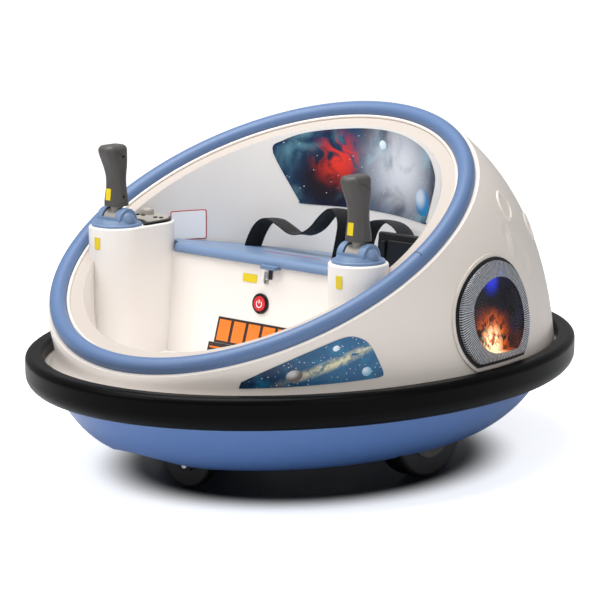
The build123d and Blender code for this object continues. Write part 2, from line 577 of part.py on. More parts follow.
# ------------------------------------------------------------------------- levers
for name, side in SIDES.items():
    place = (side * PILLAR_X, PILLAR_Y)
    with BuildPart() as lever_base:
        with BuildSketch(Plane.XY.offset(PILLAR_TOP)):
            with Locations(place):
                Circle(DOME_R)
        extrude(amount=DOME_FLANGE)
        fillet(lever_base.edges().group_by(Axis.Z)[-1], DOME_FLANGE / 2)
        with BuildSketch(Plane.XY.offset(PILLAR_TOP + DOME_FLANGE - 1)):
            with Locations(place):
                Circle(DOME_R - DOME_FLANGE)
        with BuildSketch(Plane.XY.offset(PILLAR_TOP + DOME_FLANGE + DOME_HEIGHT)):
            with Locations(place):
                Circle(DOME_TOP_R)
        loft()
        # two half-round cheeks, and the slot for the saddle
        with BuildSketch(Plane.YZ.offset(side * PILLAR_X - CHEEK_SPAN / 2)):
            with Locations((PILLAR_Y, PIVOT_Z)):
                Circle(CHEEK_R)
            with Locations((PILLAR_Y, PILLAR_TOP - BIG / 2)):
                Rectangle(BIG, BIG, mode=Mode.SUBTRACT)
        extrude(amount=CHEEK_SPAN)
        fillet(lever_base.faces().filter_by(GeomType.CYLINDER).sort_by(Axis.Z)[-1].edges()
               .filter_by(GeomType.CIRCLE), 2)
        with BuildPart(mode=Mode.PRIVATE) as swellings:
            for cheek in SIDES.values():
                with Locations((side * PILLAR_X + cheek * (CHEEK_SPAN - CHEEK_BULGE) / 2,
                                PILLAR_Y, PIVOT_Z)):
                    Sphere(CHEEK_BULGE)
            with Locations((side * PILLAR_X, PILLAR_Y, PILLAR_TOP - BIG / 2)):
                Box(BIG, BIG, BIG, mode=Mode.SUBTRACT)
        add(swellings.part)
        slot = SADDLE_WIDTH + 2 * SADDLE_SIDE
        with BuildSketch(Plane.XY.offset(PILLAR_TOP + SLOT_FLOOR)):
            with Locations(place):
                Rectangle(slot, 2 * (SADDLE_R + SADDLE_SIDE))
        extrude(amount=BIG / 10, mode=Mode.SUBTRACT)
        with BuildSketch(Plane.YZ.offset(side * PILLAR_X - CHEEK_SPAN / 2)):
            with Locations((PILLAR_Y, PIVOT_Z)):
                Circle(PIVOT_R + AXLE_FIT)
        extrude(amount=CHEEK_SPAN, mode=Mode.SUBTRACT)
    save(lever_base.part, f"lever_base_{name}", BLUE)

    with BuildPart() as lever_stem:
        with BuildSketch(Plane.YZ.offset(side * PILLAR_X - SADDLE_WIDTH / 2)):
            with Locations((PILLAR_Y, PIVOT_Z)):
                Circle(SADDLE_R)
            with Locations((PILLAR_Y, PIVOT_Z - 1 - BIG / 2)):
                Rectangle(BIG, BIG, mode=Mode.SUBTRACT)
        extrude(amount=SADDLE_WIDTH)
        with BuildSketch(Plane.YZ.offset(side * PILLAR_X - CHEEK_SPAN / 2 + 1)):
            with Locations((PILLAR_Y, PIVOT_Z)):
                Circle(PIVOT_R)
        extrude(amount=CHEEK_SPAN - 2)
        with BuildSketch(Plane.XY.offset(PIVOT_Z)):
            with Locations(place):
                Circle(STEM_R)
        extrude(amount=GRIP_SECTIONS[0][0] - PIVOT_Z)
    save(lever_stem.part, f"lever_stem_{name}", BLACK)

    with BuildPart() as lever_grip:
        for height, width, length, shift in GRIP_SECTIONS:
            with BuildSketch(Plane.XY.offset(height)):
                with Locations((side * PILLAR_X, PILLAR_Y + shift)):
                    RectangleRounded(width, length, GRIP_CORNER)
        loft()
        fillet(lever_grip.edges().group_by(Axis.Z)[-1], GRIP_TOP_ROUND)
        # screw holes in the inner side
        for rise in SCREW_HOLE_RISE:
            inner_face = side * PILLAR_X - side * GRIP_SECTIONS[1][1] / 2
            with BuildSketch(Plane.YZ.offset(inner_face - side * SCREW_HOLE_DEPTH)):
                with Locations((PILLAR_Y, GRIP_SECTIONS[0][0] + rise)):
                    Circle(SCREW_HOLE_R)
            extrude(amount=side * 2 * SCREW_HOLE_DEPTH, mode=Mode.SUBTRACT)
    save(lever_grip.part, f"lever_grip_{name}", GREY)

# ------------------------------------------------------------------ control panel
panel_centre = (-PILLAR_X, PILLAR_Y + PILLAR_LENGTH)
face_z = PILLAR_TOP + PANEL_THICK


def panel_plate(inset, bottom, thick):
    """Plate over the pillar's rear end, hollowed at the front round the dome."""
    with BuildPart(mode=Mode.PRIVATE) as plate:
        with BuildSketch(Plane.XY.offset(bottom)):
            with Locations((-PILLAR_X, PILLAR_Y + PILLAR_LENGTH / 2)):
                SlotCenterToCenter(PILLAR_LENGTH, 2 * (PILLAR_R - PANEL_INSET - inset), rotation=90)
            with Locations((-PILLAR_X, PILLAR_Y)):
                Circle(DOME_R + PANEL_GAP + inset, mode=Mode.SUBTRACT)
            with Locations((-PILLAR_X, PILLAR_Y - BIG / 2)):
                Rectangle(BIG, BIG, mode=Mode.SUBTRACT)
            with Locations((0, TUB_Y)):
                Ellipse(TUB_A - PANEL_GAP - inset, TUB_B - PANEL_GAP - inset, mode=Mode.INTERSECT)
        extrude(amount=thick)
        upright = plate.edges().filter_by(Axis.Z).group_by(Axis.Y)[0]
        fillet(upright, PANEL_CORNER)
    return plate.part


with BuildPart() as control_panel:
    add(panel_plate(0, PILLAR_TOP, PANEL_THICK))
save(control_panel.part, "control_panel", BLACK)

with BuildPart() as panel_face:
    add(panel_plate(PANEL_BORDER, face_z, FACE_THICK))
save(panel_face.part, "panel_face", GREY)

with BuildPart() as panel_keys:
    with BuildSketch(Plane.XY.offset(face_z + FACE_THICK)):
        for x, y in KEYS_AT:
            with Locations((panel_centre[0] + x, panel_centre[1] + y)):
                Circle(KEY_R)
    extrude(amount=KEY_H)
save(panel_keys.part, "panel_keys", BLACK)

with BuildPart() as panel_knob:
    with BuildSketch(Plane.XY.offset(face_z + FACE_THICK)):
        with Locations((panel_centre[0] + KNOB_AT[0], panel_centre[1] + KNOB_AT[1])):
            Circle(KNOB_R)
    extrude(amount=KNOB_H)
    fillet(panel_knob.edges().group_by(Axis.Z)[-1], KNOB_R / 2)
save(panel_knob.part, "panel_knob", GREY)

# -------------------------------------------------------------------------- lamps
for name, side in SIDES.items():
    with BuildPart() as lamp_gasket:
        add(shell_body(-GASKET_RISE))
        add(shell_body(0), mode=Mode.SUBTRACT)
        with BuildPart(mode=Mode.PRIVATE) as ring:
            add(lamp_prism(side, SEAT_GAP))
            add(lamp_prism(side, GASKET_WIDTH), mode=Mode.SUBTRACT)
        add(ring.part, mode=Mode.INTERSECT)
    save(lamp_gasket.part, f"lamp_gasket_{name}", BLACK)

    with BuildPart() as lamp_lens:
        add(shell_body(-LENS_RISE))
        add(shell_body(0), mode=Mode.SUBTRACT)
        add(lamp_prism(side, GASKET_WIDTH + SEAT_GAP), mode=Mode.INTERSECT)
        with BuildPart(mode=Mode.PRIVATE) as hollow:
            add(shell_body(LENS_WALL - LENS_RISE))
            add(lamp_prism(side, GASKET_WIDTH + SEAT_GAP + LENS_WALL), mode=Mode.INTERSECT)
        add(hollow.part, mode=Mode.SUBTRACT)
    save(lamp_lens.part, f"lamp_lens_{name}", CLEAR)

    with BuildPart() as lamp_bowl:
        add(shell_body(0))
        add(shell_body(BOWL_DEPTH), mode=Mode.SUBTRACT)
        add(lamp_prism(side, GASKET_WIDTH + SEAT_GAP), mode=Mode.INTERSECT)
        with BuildPart(mode=Mode.PRIVATE) as hollow:
            add(shell_body(-1))
            add(shell_body(BOWL_DEPTH - BOWL_WALL), mode=Mode.SUBTRACT)
            add(lamp_prism(side, GASKET_WIDTH + SEAT_GAP + BOWL_WALL), mode=Mode.INTERSECT)
        add(hollow.part, mode=Mode.SUBTRACT)
    save(lamp_bowl.part, f"lamp_bowl_{name}", BLACK)

# ------------------------------------------------------------------- drive wheels
for name, side in SIDES.items():
    wheel_plane = Plane(origin=(side * WHEEL_INNER_X, 0, WHEEL_R), x_dir=(0, 1, 0), z_dir=(side, 0, 0))
    hub_depth = HUB_THICK - HUB_PROUD
    with BuildPart() as drive_wheel:
        with BuildSketch(wheel_plane):
            Circle(WHEEL_R)
            Circle(AXLE_R + AXLE_FIT, mode=Mode.SUBTRACT)
        extrude(amount=WHEEL_WIDTH)
        rims = drive_wheel.edges().filter_by(GeomType.CIRCLE).sort_by(SortBy.RADIUS)
        fillet(rims[-2:], TREAD_ROUND)
        with BuildSketch(wheel_plane.offset(WHEEL_WIDTH - hub_depth)):
            Circle(HUB_R + SEAT_GAP)
        extrude(amount=HUB_THICK, mode=Mode.SUBTRACT)
    save(drive_wheel.part, f"drive_wheel_{name}", BLACK)

    with BuildPart() as hub_cap:
        with BuildSketch(wheel_plane.offset(WHEEL_WIDTH - hub_depth)):
            Circle(HUB_R)
        extrude(amount=HUB_THICK)
        fillet(hub_cap.faces().sort_by(Axis.X)[-1 if side > 0 else 0].edges(), HUB_PROUD)
    save(hub_cap.part, f"hub_cap_{name}", GREY)

    with BuildPart() as gearbox:
        with BuildSketch(Plane.YZ.offset(side * WELL_X0)):
            with Locations((0, WHEEL_R)):
                RectangleRounded(GEARBOX[1], GEARBOX[2], GEARBOX_ROUND)
        extrude(amount=side * GEARBOX[0])
        with BuildSketch(Plane.YZ.offset(side * WELL_X0)):
            with Locations((0, WHEEL_R)):
                Circle(GEARBOX_BOSS_R)
        extrude(amount=side * (WHEEL_INNER_X - BOSS_CLEAR - WELL_X0))
        with BuildSketch(Plane.YZ.offset(side * (WELL_X0 + GEARBOX[0] / 4))):
            with Locations((0, WHEEL_R)):
                Circle(AXLE_R + AXLE_FIT)
        extrude(amount=side * BIG / 4, mode=Mode.SUBTRACT)
    save(gearbox.part, f"gearbox_{name}", BLACK)

    axle_start = WELL_X0 + GEARBOX[0] / 4 + SEAT_GAP
    axle_end = WHEEL_INNER_X + WHEEL_WIDTH - hub_depth - 1
    with BuildPart() as drive_axle:
        with BuildSketch(Plane.YZ.offset(side * axle_start)):
            with Locations((0, WHEEL_R)):
                Circle(AXLE_R)
        extrude(amount=side * (axle_end - axle_start))
    save(drive_axle.part, f"drive_axle_{name}", SILVER)

# ------------------------------------------------------------------------ casters
for name, end in ENDS.items():
    pivot = (0, end * CASTER_Y)
    wheel_y = end * CASTER_Y + CASTER_TRAIL
    plate_bottom = CASTER_WELL_TOP - PLATE_THICK
    fork_top = plate_bottom - AXLE_FIT
    swivel, turn = Axis((0, end * CASTER_Y, 0), (0, 0, 1)), CASTER_TURN[name]
    with BuildPart() as caster_plate:
        with BuildSketch(Plane.XY.offset(plate_bottom)):
            with Locations(pivot):
                Circle(PLATE_R)
                Circle(KINGPIN_R + AXLE_FIT, mode=Mode.SUBTRACT)
        extrude(amount=PLATE_THICK)
    save(caster_plate.part, f"caster_plate_{name}", SILVER)

    arm_x = CASTER_WIDTH / 2 + FORK_GAP
    with BuildPart() as caster_fork:
        with BuildSketch(Plane.XY.offset(fork_top - FORK_TOP)):
            with Locations(pivot):
                Circle(FORK_TOP_R)
        extrude(amount=FORK_TOP)
        with BuildSketch(Plane.XY.offset(fork_top - 1)):
            with Locations(pivot):
                Circle(KINGPIN_R)
        extrude(amount=1 + PLATE_THICK + WALL + AXLE_FIT)
        for arm_side in SIDES.values():
            with BuildSketch(Plane.YZ.offset(arm_side * arm_x)):
                with Locations((wheel_y, CASTER_R)):
                    Circle(FORK_EYE_R)
                with BuildLine():
                    Polyline(
                        (pivot[1] - arm_x, fork_top),
                        (pivot[1] + arm_x, fork_top),
                        (wheel_y + FORK_EYE_R, CASTER_R),
                        (wheel_y - FORK_EYE_R, CASTER_R),
                        close=True,
                    )
                make_face()
                with Locations((wheel_y, CASTER_R)):
                    Circle(CASTER_AXLE_R + SEAT_GAP, mode=Mode.SUBTRACT)
            extrude(amount=arm_side * FORK_WALL)
    save(caster_fork.part.rotate(swivel, turn), f"caster_fork_{name}", BLACK)

    with BuildPart() as caster_axle:
        with BuildSketch(Plane.YZ.offset(-(arm_x + FORK_WALL + 2))):
            with Locations((wheel_y, CASTER_R)):
                Circle(CASTER_AXLE_R)
        extrude(amount=2 * (arm_x + FORK_WALL + 2))
    save(caster_axle.part.rotate(swivel, turn), f"caster_axle_{name}", SILVER)

    with BuildPart() as caster_wheel:
        with BuildSketch(Plane.YZ.offset(-CASTER_WIDTH / 2)):
            with Locations((wheel_y, CASTER_R)):
                Circle(CASTER_R)
                Circle(CASTER_AXLE_R + AXLE_FIT, mode=Mode.SUBTRACT)
        extrude(amount=CASTER_WIDTH)
        rims = caster_wheel.edges().filter_by(GeomType.CIRCLE).sort_by(SortBy.RADIUS)
        fillet(rims[-2:], CASTER_TREAD_ROUND)
    save(caster_wheel.part.rotate(swivel, turn), f"caster_wheel_{name}", BLACK)

# ------------------------------------------------------------------------ battery
with BuildPart() as battery:
    with BuildSketch(Plane.XY.offset(HULL_BOTTOM + WALL)):
        with Locations((0, BATTERY_Y)):
            Rectangle(BATTERY[0], BATTERY[1])
    extrude(amount=BATTERY[2])
save(battery.part, "battery", BLACK)

# ---------------------------------------------------------------------- seat belt


def seat_top(y):
    """Plane of the seat panel's upper face at one place along the car."""
    drop = (BENCH_FRONT_Z - BENCH_REAR_Z) / (TUB_Y + TUB_B - BENCH_TOP_Y)
    length = hypot(1, drop)
    return Plane(
        origin=(0, y, bench_height(y) + SEAT_THICK),
        x_dir=(1, 0, 0),
        z_dir=(0, drop / length, 1 / length),
    )


for name, (along, route) in WEB_ROUTES.items():
    base = seat_top(along)
    across = Plane(origin=base.origin, x_dir=(1, 0, 0), z_dir=-base.y_dir)
    with BuildPart() as belt_web:
        with BuildLine(across) as path:
            Spline(*route)
        with BuildSketch(Plane(origin=path.line @ 0, x_dir=base.y_dir, z_dir=path.line % 0)):
            Rectangle(WEB_WIDTH, WEB_THICK)
        sweep()
        split(bisect_by=base, keep=Keep.TOP)
    save(belt_web.part, f"belt_web_{name}", BLACK)

with BuildPart() as belt_buckle:
    base = seat_top(BUCKLE_PLACE[1])
    with BuildSketch(base):
        with Locations((BUCKLE_PLACE[0], 0)):
            RectangleRounded(BUCKLE[0], BUCKLE[1], BUCKLE_ROUND)
    extrude(amount=BUCKLE[2])
    fillet(belt_buckle.faces().sort_by(Axis.Z)[-1].edges(), BUCKLE_ROUND / 2)
save(belt_buckle.part, "belt_buckle", GREY)
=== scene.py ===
"""Looks of the ride-on bumper car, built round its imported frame.

Metres, +Z up, floor at Z = 0, front towards -Y, the driver's left towards +X.
"""
import math

import bpy
from mathutils import Matrix, Vector


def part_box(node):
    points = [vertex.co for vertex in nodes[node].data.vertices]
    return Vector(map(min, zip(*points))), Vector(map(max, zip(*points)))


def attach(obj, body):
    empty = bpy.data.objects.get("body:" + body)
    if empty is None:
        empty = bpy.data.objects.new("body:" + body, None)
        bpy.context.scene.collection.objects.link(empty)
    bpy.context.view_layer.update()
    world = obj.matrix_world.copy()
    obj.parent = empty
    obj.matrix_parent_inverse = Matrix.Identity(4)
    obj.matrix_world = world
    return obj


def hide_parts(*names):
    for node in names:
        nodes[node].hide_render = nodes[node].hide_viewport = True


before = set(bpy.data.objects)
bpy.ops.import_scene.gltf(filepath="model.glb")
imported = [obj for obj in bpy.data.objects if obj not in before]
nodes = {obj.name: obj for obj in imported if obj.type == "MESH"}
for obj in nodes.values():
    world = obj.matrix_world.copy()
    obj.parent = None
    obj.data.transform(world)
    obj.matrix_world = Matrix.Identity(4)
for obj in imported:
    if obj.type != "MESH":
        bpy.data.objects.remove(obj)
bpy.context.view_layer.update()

MM = 0.001
SIDES = {"left": 1, "right": -1}
ALONG_X, ALONG_Y, ALONG_Z = Vector((1, 0, 0)), Vector((0, 1, 0)), Vector((0, 0, 1))

# -------------------------------------- sizes of the car that the dressing follows
PILLAR_X = 0.2375
BENCH_FRONT_Y, BENCH_TOP = -0.078, 0.290
BENCH_REAR_Y, BENCH_REAR = 0.154, 0.257
BENCH_SLOPE = (BENCH_REAR - BENCH_TOP) / (BENCH_REAR_Y - BENCH_FRONT_Y)
SEAT_THICK = 0.014
POWER_BUTTON = (-0.0115, 0.234)         # across and height of its middle
RIM_TILT = math.radians(27.93)
RIM_CENTRE = Vector((0, -0.09597, 0.34087))
TRIM_INNER = (0.2936, 0.3084)           # half width and half length inside the foam trim

# ---------------------------------------------------------------------- films
# outlines on the plane that each film is laid along: two corners of a box, or points
BACKREST = [(-0.160, 0.424), (-0.146, 0.444), (-0.103, 0.459), (-0.018, 0.469), (0.059, 0.467),
            (0.124, 0.451), (0.155, 0.428), (0.160, 0.405), (0.128, 0.345), (0.118, 0.341),
            (0.000, 0.345), (-0.112, 0.346), (-0.124, 0.349)]
BACKREST_CORNERS = (8, 12)
SIDE_PICTURE = [(-0.337, 0.188), (-0.315, 0.207), (-0.280, 0.229), (-0.240, 0.247),
                (-0.219, 0.246), (-0.200, 0.234), (-0.185, 0.211), (-0.176, 0.192),
                (-0.181, 0.186), (-0.212, 0.184), (-0.260, 0.182), (-0.313, 0.180),
                (-0.338, 0.179)]
SIDE_CORNERS = (0, 12)
WARNING_BORDER = ((-0.024, 0.2915), (0.030, 0.3375))
WARNING_FIELD = ((-0.0225, 0.293), (0.0285, 0.336))
BENCH_LABEL = ((-0.051, 0.2625), (-0.023, 0.2745))
PILLAR_LABEL = ((-0.004, 0.303), (0.007, 0.321))        # beside the pillar's middle
GRIP_LABEL = ((-0.0065, 0.3735), (0.0038, 0.391))
SEAT_STRIPE = [(-0.083, 0.000), (0.026, 0.001), (0.027, 0.0035), (-0.082, 0.0025)]
LATCH_STRAP, LATCH_STRAP_THICK = ((0.0005, 0.271), (0.0072, 0.2885)), 0.0016
MARK_RING = (0.0058, 0.0045)            # outer and inner radius of the power mark
MARK_TURNS = range(40, 321, 20)         # its arc, in degrees from the top
MARK_BAR = ((-0.0007, 0.001), (0.0007, 0.0065))
BADGE_LEAN, BADGE_LEVEL = 0.18, 0.18    # slant, and the height at which it shifts nothing
BADGE_GROUND = ((-0.098, 0.166), (0.052, 0.205))
BADGE_FOOT = ((-0.108, 0.151), (0.020, 0.1655))
BADGE_LINE = ((-0.104, 0.157), (0.016, 0.1595))
BADGE_BAR, BADGE_PITCH, BADGE_BARS = ((-0.094, 0.1695), (-0.0705, 0.2015)), 0.0292, 5
CAP_LINE = [("front", 0.012, -0.009), ("middle", 0.002, -0.013), ("rear", -0.007, -0.023),
            ("rear", -0.0035, -0.040)]  # from the grip's front, middle or rear, and its top
CAP_LINE_WIDTH = (0.0003, 0.0007)
TRIM_SEAM = ((0.2940, -0.1138), (0.3150, -0.1126))      # across the tube, on the left side
FILM_LIFT, SECOND_LIFT, THIN_LIFT = 0.0004, 0.0008, 0.0001
FILM_THICK, LINE_THICK = 0.0003, 0.0001

# how far back from the car's origin a film's points start on their way to the surface
OUTSIDE, BEFORE_PILLARS, BEFORE_BENCH, OVER_SEAT, IN_THE_MIDDLE = 0.6, 0.3, 0.16, 0.05, 0.0

# ------------------------------------------------------- discs and band in prints
BACKREST_DISCS = [((0.118, 0, 0.372), 0.020, "#1D7CB4"), ((0.020, 0, 0.447), 0.0065, "#CFE4EE")]
SIDE_DISCS = [((0, -0.288, 0.196), 0.0085, "#6D625D"), ((0, -0.246, 0.233), 0.0038, "#DCE6EE"),
              ((0, -0.200, 0.196), 0.0060, "#8FC3E0")]
DISC_EDGE, DISC_SHINE = 0.0008, 0.6
BAND_PLACE, BAND_SLANT, BAND_SIZE = (0, -0.240, 0.213), math.radians(24), (1, 0.085, 0.011)

# ---------------------------------------------------------------------- belts
# place along the car, then the route across it and up from the seat's surface
BELTS = {
    "left": (0.090, [(0.033, -0.004), (0.037, 0.030), (0.048, 0.057), (0.072, 0.066),
                     (0.104, 0.059), (0.122, 0.034), (0.126, -0.004)]),
    "right": (0.060, [(-0.163, -0.004), (-0.154, 0.028), (-0.129, 0.049), (-0.099, 0.038),
                      (-0.070, 0.024), (-0.037, 0.036), (-0.015, 0.064), (0.005, 0.077),
                      (0.022, 0.058), (0.019, 0.026), (0.015, -0.004)]),
}
BELT_WIDTH, BELT_THICK, BELT_CROWN, BELT_EDGE = 0.038, 0.0016, 0.0012, 0.0004
BELT_COLUMNS, BELT_STEPS = 8, 12
BUCKLE_PLATES = {       # share of the buckle's width and height, their middle in it, rounding
    "buckle_body": ((0.62, 0.72), (0.64, 0.46), 0.0015),
    "buckle_tongue": ((0.09, 0.66), (0.20, 0.44), 0.0012),
}
BUCKLE_PLATE_THICK, BUCKLE_PLATE_SUNK = 0.004, 0.0015

# ----------------------------------------------------------------- rim and lamps
BEAD, BEAD_RISE = 0.0026, 0.6           # radius of the rim's edge, and its rise in radii
LAMP_Y, LAMP_CROWN, LAMP_FOOT = 0.025, 0.328, 0.177
LAMP_FORE = (0.066, 0.086, 0.097)       # fall of the centre, reach, drop
LAMP_AFT = (0.096, 0.100, 0.082)
LENS_EDGE = 0.0056                      # the lens's edge inside the lamp's outline
BAND_FORE, BAND_AFT = 0.026, 0.018      # width of its ribbed edge, front and rear,
BAND_FOOT, BAND_WALL = 0.009, 0.0038    # along its flat foot and down its side wall
BAND_INSIDE, BAND_OUTSIDE = 0.0002, 0.0008      # its start on the face, and off the wall
BAND_ROWS, RIB_COUNT = 5, 150
LEDS, LED_X, LED_RADIUS = [(0.047, 0.301), (-0.012, 0.262)], 0.318, 0.0022
LAMP_GLOW, LAMP_BLUE = (0.31, 0.050, 0.198), (0.31, 0.057, 0.292)

# ----------------------------------------------------- cells of patterns, in metres
WEAR_PATCH = 166.7 * MM                 # slow change in a moulding's gloss
TURNING_MARK = 1.111 * MM               # coarser than life, so that it shows
LENS_RIPPLE = 25 * MM
LENS_FOG = 6.25 * MM
FILM_GRAIN = 1.429 * MM                 # coarser than life, so that it shows
THREAD = 1.4 * MM                       # one chevron of the webbing, coarser than life
ONE_WAVE = 0.31                         # scale of a wave pattern with its bands a metre apart

# --------------------------------------------------------------- camera and studio
CAMERA_AZIMUTH, CAMERA_ELEVATION = math.radians(41.73), math.radians(11.87)
CAMERA_DISTANCE = 3.8817
CAMERA_TARGET = Vector((0, 0.0072, 0.162))
SENSOR, LENS = 36.0, 156.05
SHIFT_X, SHIFT_Y = -0.0144, 0.0720
SOFTBOXES = [                           # name, place, size in metres, power in watts
    ("top_softbox", (-0.2, -0.4, 2.2), 1.8, 60),
    ("front_softbox", (-1.0, -2.4, 2.0), 1.6, 26),
    ("side_softbox", (2.3, -0.5, 1.2), 1.4, 10),
]
LIT_POINT = Vector((0, 0, 0.2))
SHADOW_PLACE, SHADOW_SIZE = (0.02, -0.02, 0), (0.30, 0.35, 1)
SHADOW_CORE, SHADOW_SOFT = 0.74, 0.28   # in shares of that size
FLOOR_SIZE, FLOOR_GLOW, SKY_LIGHT = 30, 0.75, 0.36


# --------------------------------------------------------------------- materials
def linear(hex_colour):
    """Linear colour from an sRGB hex value."""
    parts = [int(hex_colour[i:i + 2], 16) / 255 for i in (1, 3, 5)]
    return [p / 12.92 if p <= 0.04045 else ((p + 0.055) / 1.055) ** 2.4 for p in parts] + [1.0]


def add_node(tree, kind, attributes=None, **inputs):
    """One shader node, its attributes set and its inputs given values or sockets."""
    made = tree.nodes.new(kind)
    for name, value in (attributes or {}).items():
        setattr(made, name, value)
    for name, value in inputs.items():
        key = int(name[1:]) if name[1:].isdigit() else name.replace("_", " ")
        if isinstance(value, bpy.types.NodeSocket):
            tree.links.new(value, made.inputs[key])
        else:
            made.inputs[key].default_value = value
    return made


def new_material(name):
    """An empty material with its shader, its output and its object coordinates."""
    material = bpy.data.materials.new(name)
    material.use_nodes = True
    tree = material.node_tree
    tree.nodes.clear()
    shader = add_node(tree, "ShaderNodeBsdfPrincipled")
    add_node(tree, "ShaderNodeOutputMaterial", Surface=shader.outputs[0])
    place = add_node(tree, "ShaderNodeTexCoord").outputs["Object"]
    return material, tree, shader, place


def near(tree, place, centre, radius, soft):
    """Mask of a round spot: one inside its radius, falling to none over a soft edge."""
    away = add_node(tree, "ShaderNodeVectorMath", {"operation": "DISTANCE"}, i0=place, i1=centre)
    span = add_node(tree, "ShaderNodeMapRange", {"interpolation_type": "SMOOTHSTEP"},
                    Value=away.outputs["Value"], From_Min=radius, From_Max=radius + soft,
                    To_Min=1.0, To_Max=0.0)
    return span.outputs[0]


def clouds(tree, place, cell, low, high, twist=0.0):
    """Mask of drifting cloud with cells of one size in metres, between two noise levels."""
    noise = add_node(tree, "ShaderNodeTexNoise", Vector=place, Scale=1 / cell, Detail=4.0,
                     Distortion=twist)
    span = add_node(tree, "ShaderNodeMapRange", {"interpolation_type": "SMOOTHSTEP"},
                    Value=noise.outputs["Fac"], From_Min=low, From_Max=high)
    return span.outputs[0]


def cloudy(tree, spot, place, **cloud):
    """A mask broken up by drifting cloud."""
    both = add_node(tree, "ShaderNodeMath", {"operation": "MULTIPLY"},
                    i0=spot, i1=clouds(tree, place, **cloud))
    return both.outputs[0]


def stars(tree, place, spacing, size):
    """Mask of small scattered dots, one to a cell of the spacing."""
    dots = add_node(tree, "ShaderNodeTexVoronoi", Vector=place, Scale=1 / spacing)
    span = add_node(tree, "ShaderNodeMapRange", Value=dots.outputs["Distance"],
                    From_Min=size / spacing * 0.5, From_Max=size / spacing,
                    To_Min=1.0, To_Max=0.0)
    return span.outputs[0]


def mirrored(tree, place):
    """Place with the right side's X turned into the left's."""
    parts = add_node(tree, "ShaderNodeSeparateXYZ", Vector=place)
    flipped = add_node(tree, "ShaderNodeMath", {"operation": "ABSOLUTE"}, i0=parts.outputs[0])
    return add_node(tree, "ShaderNodeCombineXYZ", X=flipped.outputs[0], Y=parts.outputs[1],
                    Z=parts.outputs[2]).outputs[0]


def lay(tree, below, mask, colour, cover=1.0):
    """One printed colour laid over what is below it, where a mask lets it cover."""
    share = add_node(tree, "ShaderNodeMath", {"operation": "MULTIPLY"}, i0=mask, i1=cover)
    mixed = add_node(tree, "ShaderNodeMix", {"data_type": "RGBA"},
                     i0=share.outputs[0], i6=below, i7=linear(colour))
    return mixed.outputs[2]


def lay_discs(tree, place, sky, discs, lit_from):
    """Plain round discs laid over a print, each paler on its lit side."""
    for centre, radius, colour in discs:
        whole = near(tree, place, centre, radius, DISC_EDGE)
        sky = lay(tree, sky, whole, colour)
        bright = Vector(centre) + Vector(lit_from) * radius
        lit = add_node(tree, "ShaderNodeMath", {"operation": "MULTIPLY"},
                       i0=near(tree, place, bright, radius * 0.2, radius), i1=whole)
        sky = lay(tree, sky, lit.outputs[0], "#FFFFFF", DISC_SHINE)
    return sky


def moulded_plastic(name, colour, roughness, grain_mm, grain_depth, coat=0.0, mottle=0.03,
                    shine=0.5):
    """Blow-moulded polyethylene or ABS: even colour, soft gloss, a faint moulded grain.

    The grain is drawn coarser than life, so that it shows.
    """
    material, tree, shader, place = new_material(name)
    patch = add_node(tree, "ShaderNodeTexNoise", Vector=place, Scale=1 / WEAR_PATCH, Detail=0.0)
    grain = add_node(tree, "ShaderNodeTexNoise", Vector=place, Scale=1 / (grain_mm * MM),
                     Detail=2.0)
    base = linear(colour)
    darker = [c * (1 - mottle * 2) for c in base[:3]] + [1.0]
    tint = add_node(tree, "ShaderNodeMix", {"data_type": "RGBA"},
                    i0=grain.outputs["Fac"], i6=darker, i7=base)
    tree.links.new(tint.outputs[2], shader.inputs["Base Color"])
    wear = add_node(tree, "ShaderNodeMapRange", Value=patch.outputs["Fac"],
                    To_Min=roughness * 0.88, To_Max=roughness * 1.12)
    tree.links.new(wear.outputs[0], shader.inputs["Roughness"])
    bump = add_node(tree, "ShaderNodeBump", Strength=grain_depth, Distance=0.2 * MM,
                    Height=grain.outputs["Fac"])
    tree.links.new(bump.outputs[0], shader.inputs["Normal"])
    shader.inputs["Specular IOR Level"].default_value = shine
    shader.inputs["Coat Weight"].default_value = coat
    shader.inputs["Coat Roughness"].default_value = 0.12
    return material


def paint_rim_shade(material, colour):
    """Painted shade: a darker tone on faces that lie along the cockpit's rim, so that the flange,
    lit more from above, looks no brighter than the walls.
    """
    tree = material.node_tree
    shader = tree.nodes["Principled BSDF"]
    facing = add_node(tree, "ShaderNodeVectorMath", {"operation": "DOT_PRODUCT"},
                      i0=add_node(tree, "ShaderNodeNewGeometry").outputs["True Normal"],
                      i1=(0, -math.sin(RIM_TILT), math.cos(RIM_TILT)))
    mask = add_node(tree, "ShaderNodeMapRange", Value=facing.outputs["Value"],
                    From_Min=0.99, From_Max=0.999)
    plain = shader.inputs["Base Color"].links[0].from_socket
    rim_shaded = lay(tree, plain, mask.outputs[0], colour)
    tree.links.new(rim_shaded, shader.inputs["Base Color"])


def turned_steel(name, colour, roughness):
    """Zinc-plated steel with fine turning marks that break up its gloss."""
    material, tree, shader, place = new_material(name)
    marks = add_node(tree, "ShaderNodeTexNoise", Vector=place, Scale=1 / TURNING_MARK, Detail=2.0)
    span = add_node(tree, "ShaderNodeMapRange", Value=marks.outputs["Fac"],
                    To_Min=roughness * 0.7, To_Max=roughness * 1.3)
    tree.links.new(span.outputs[0], shader.inputs["Roughness"])
    shader.inputs["Base Color"].default_value = linear(colour)
    shader.inputs["Metallic"].default_value = 1.0
    return material


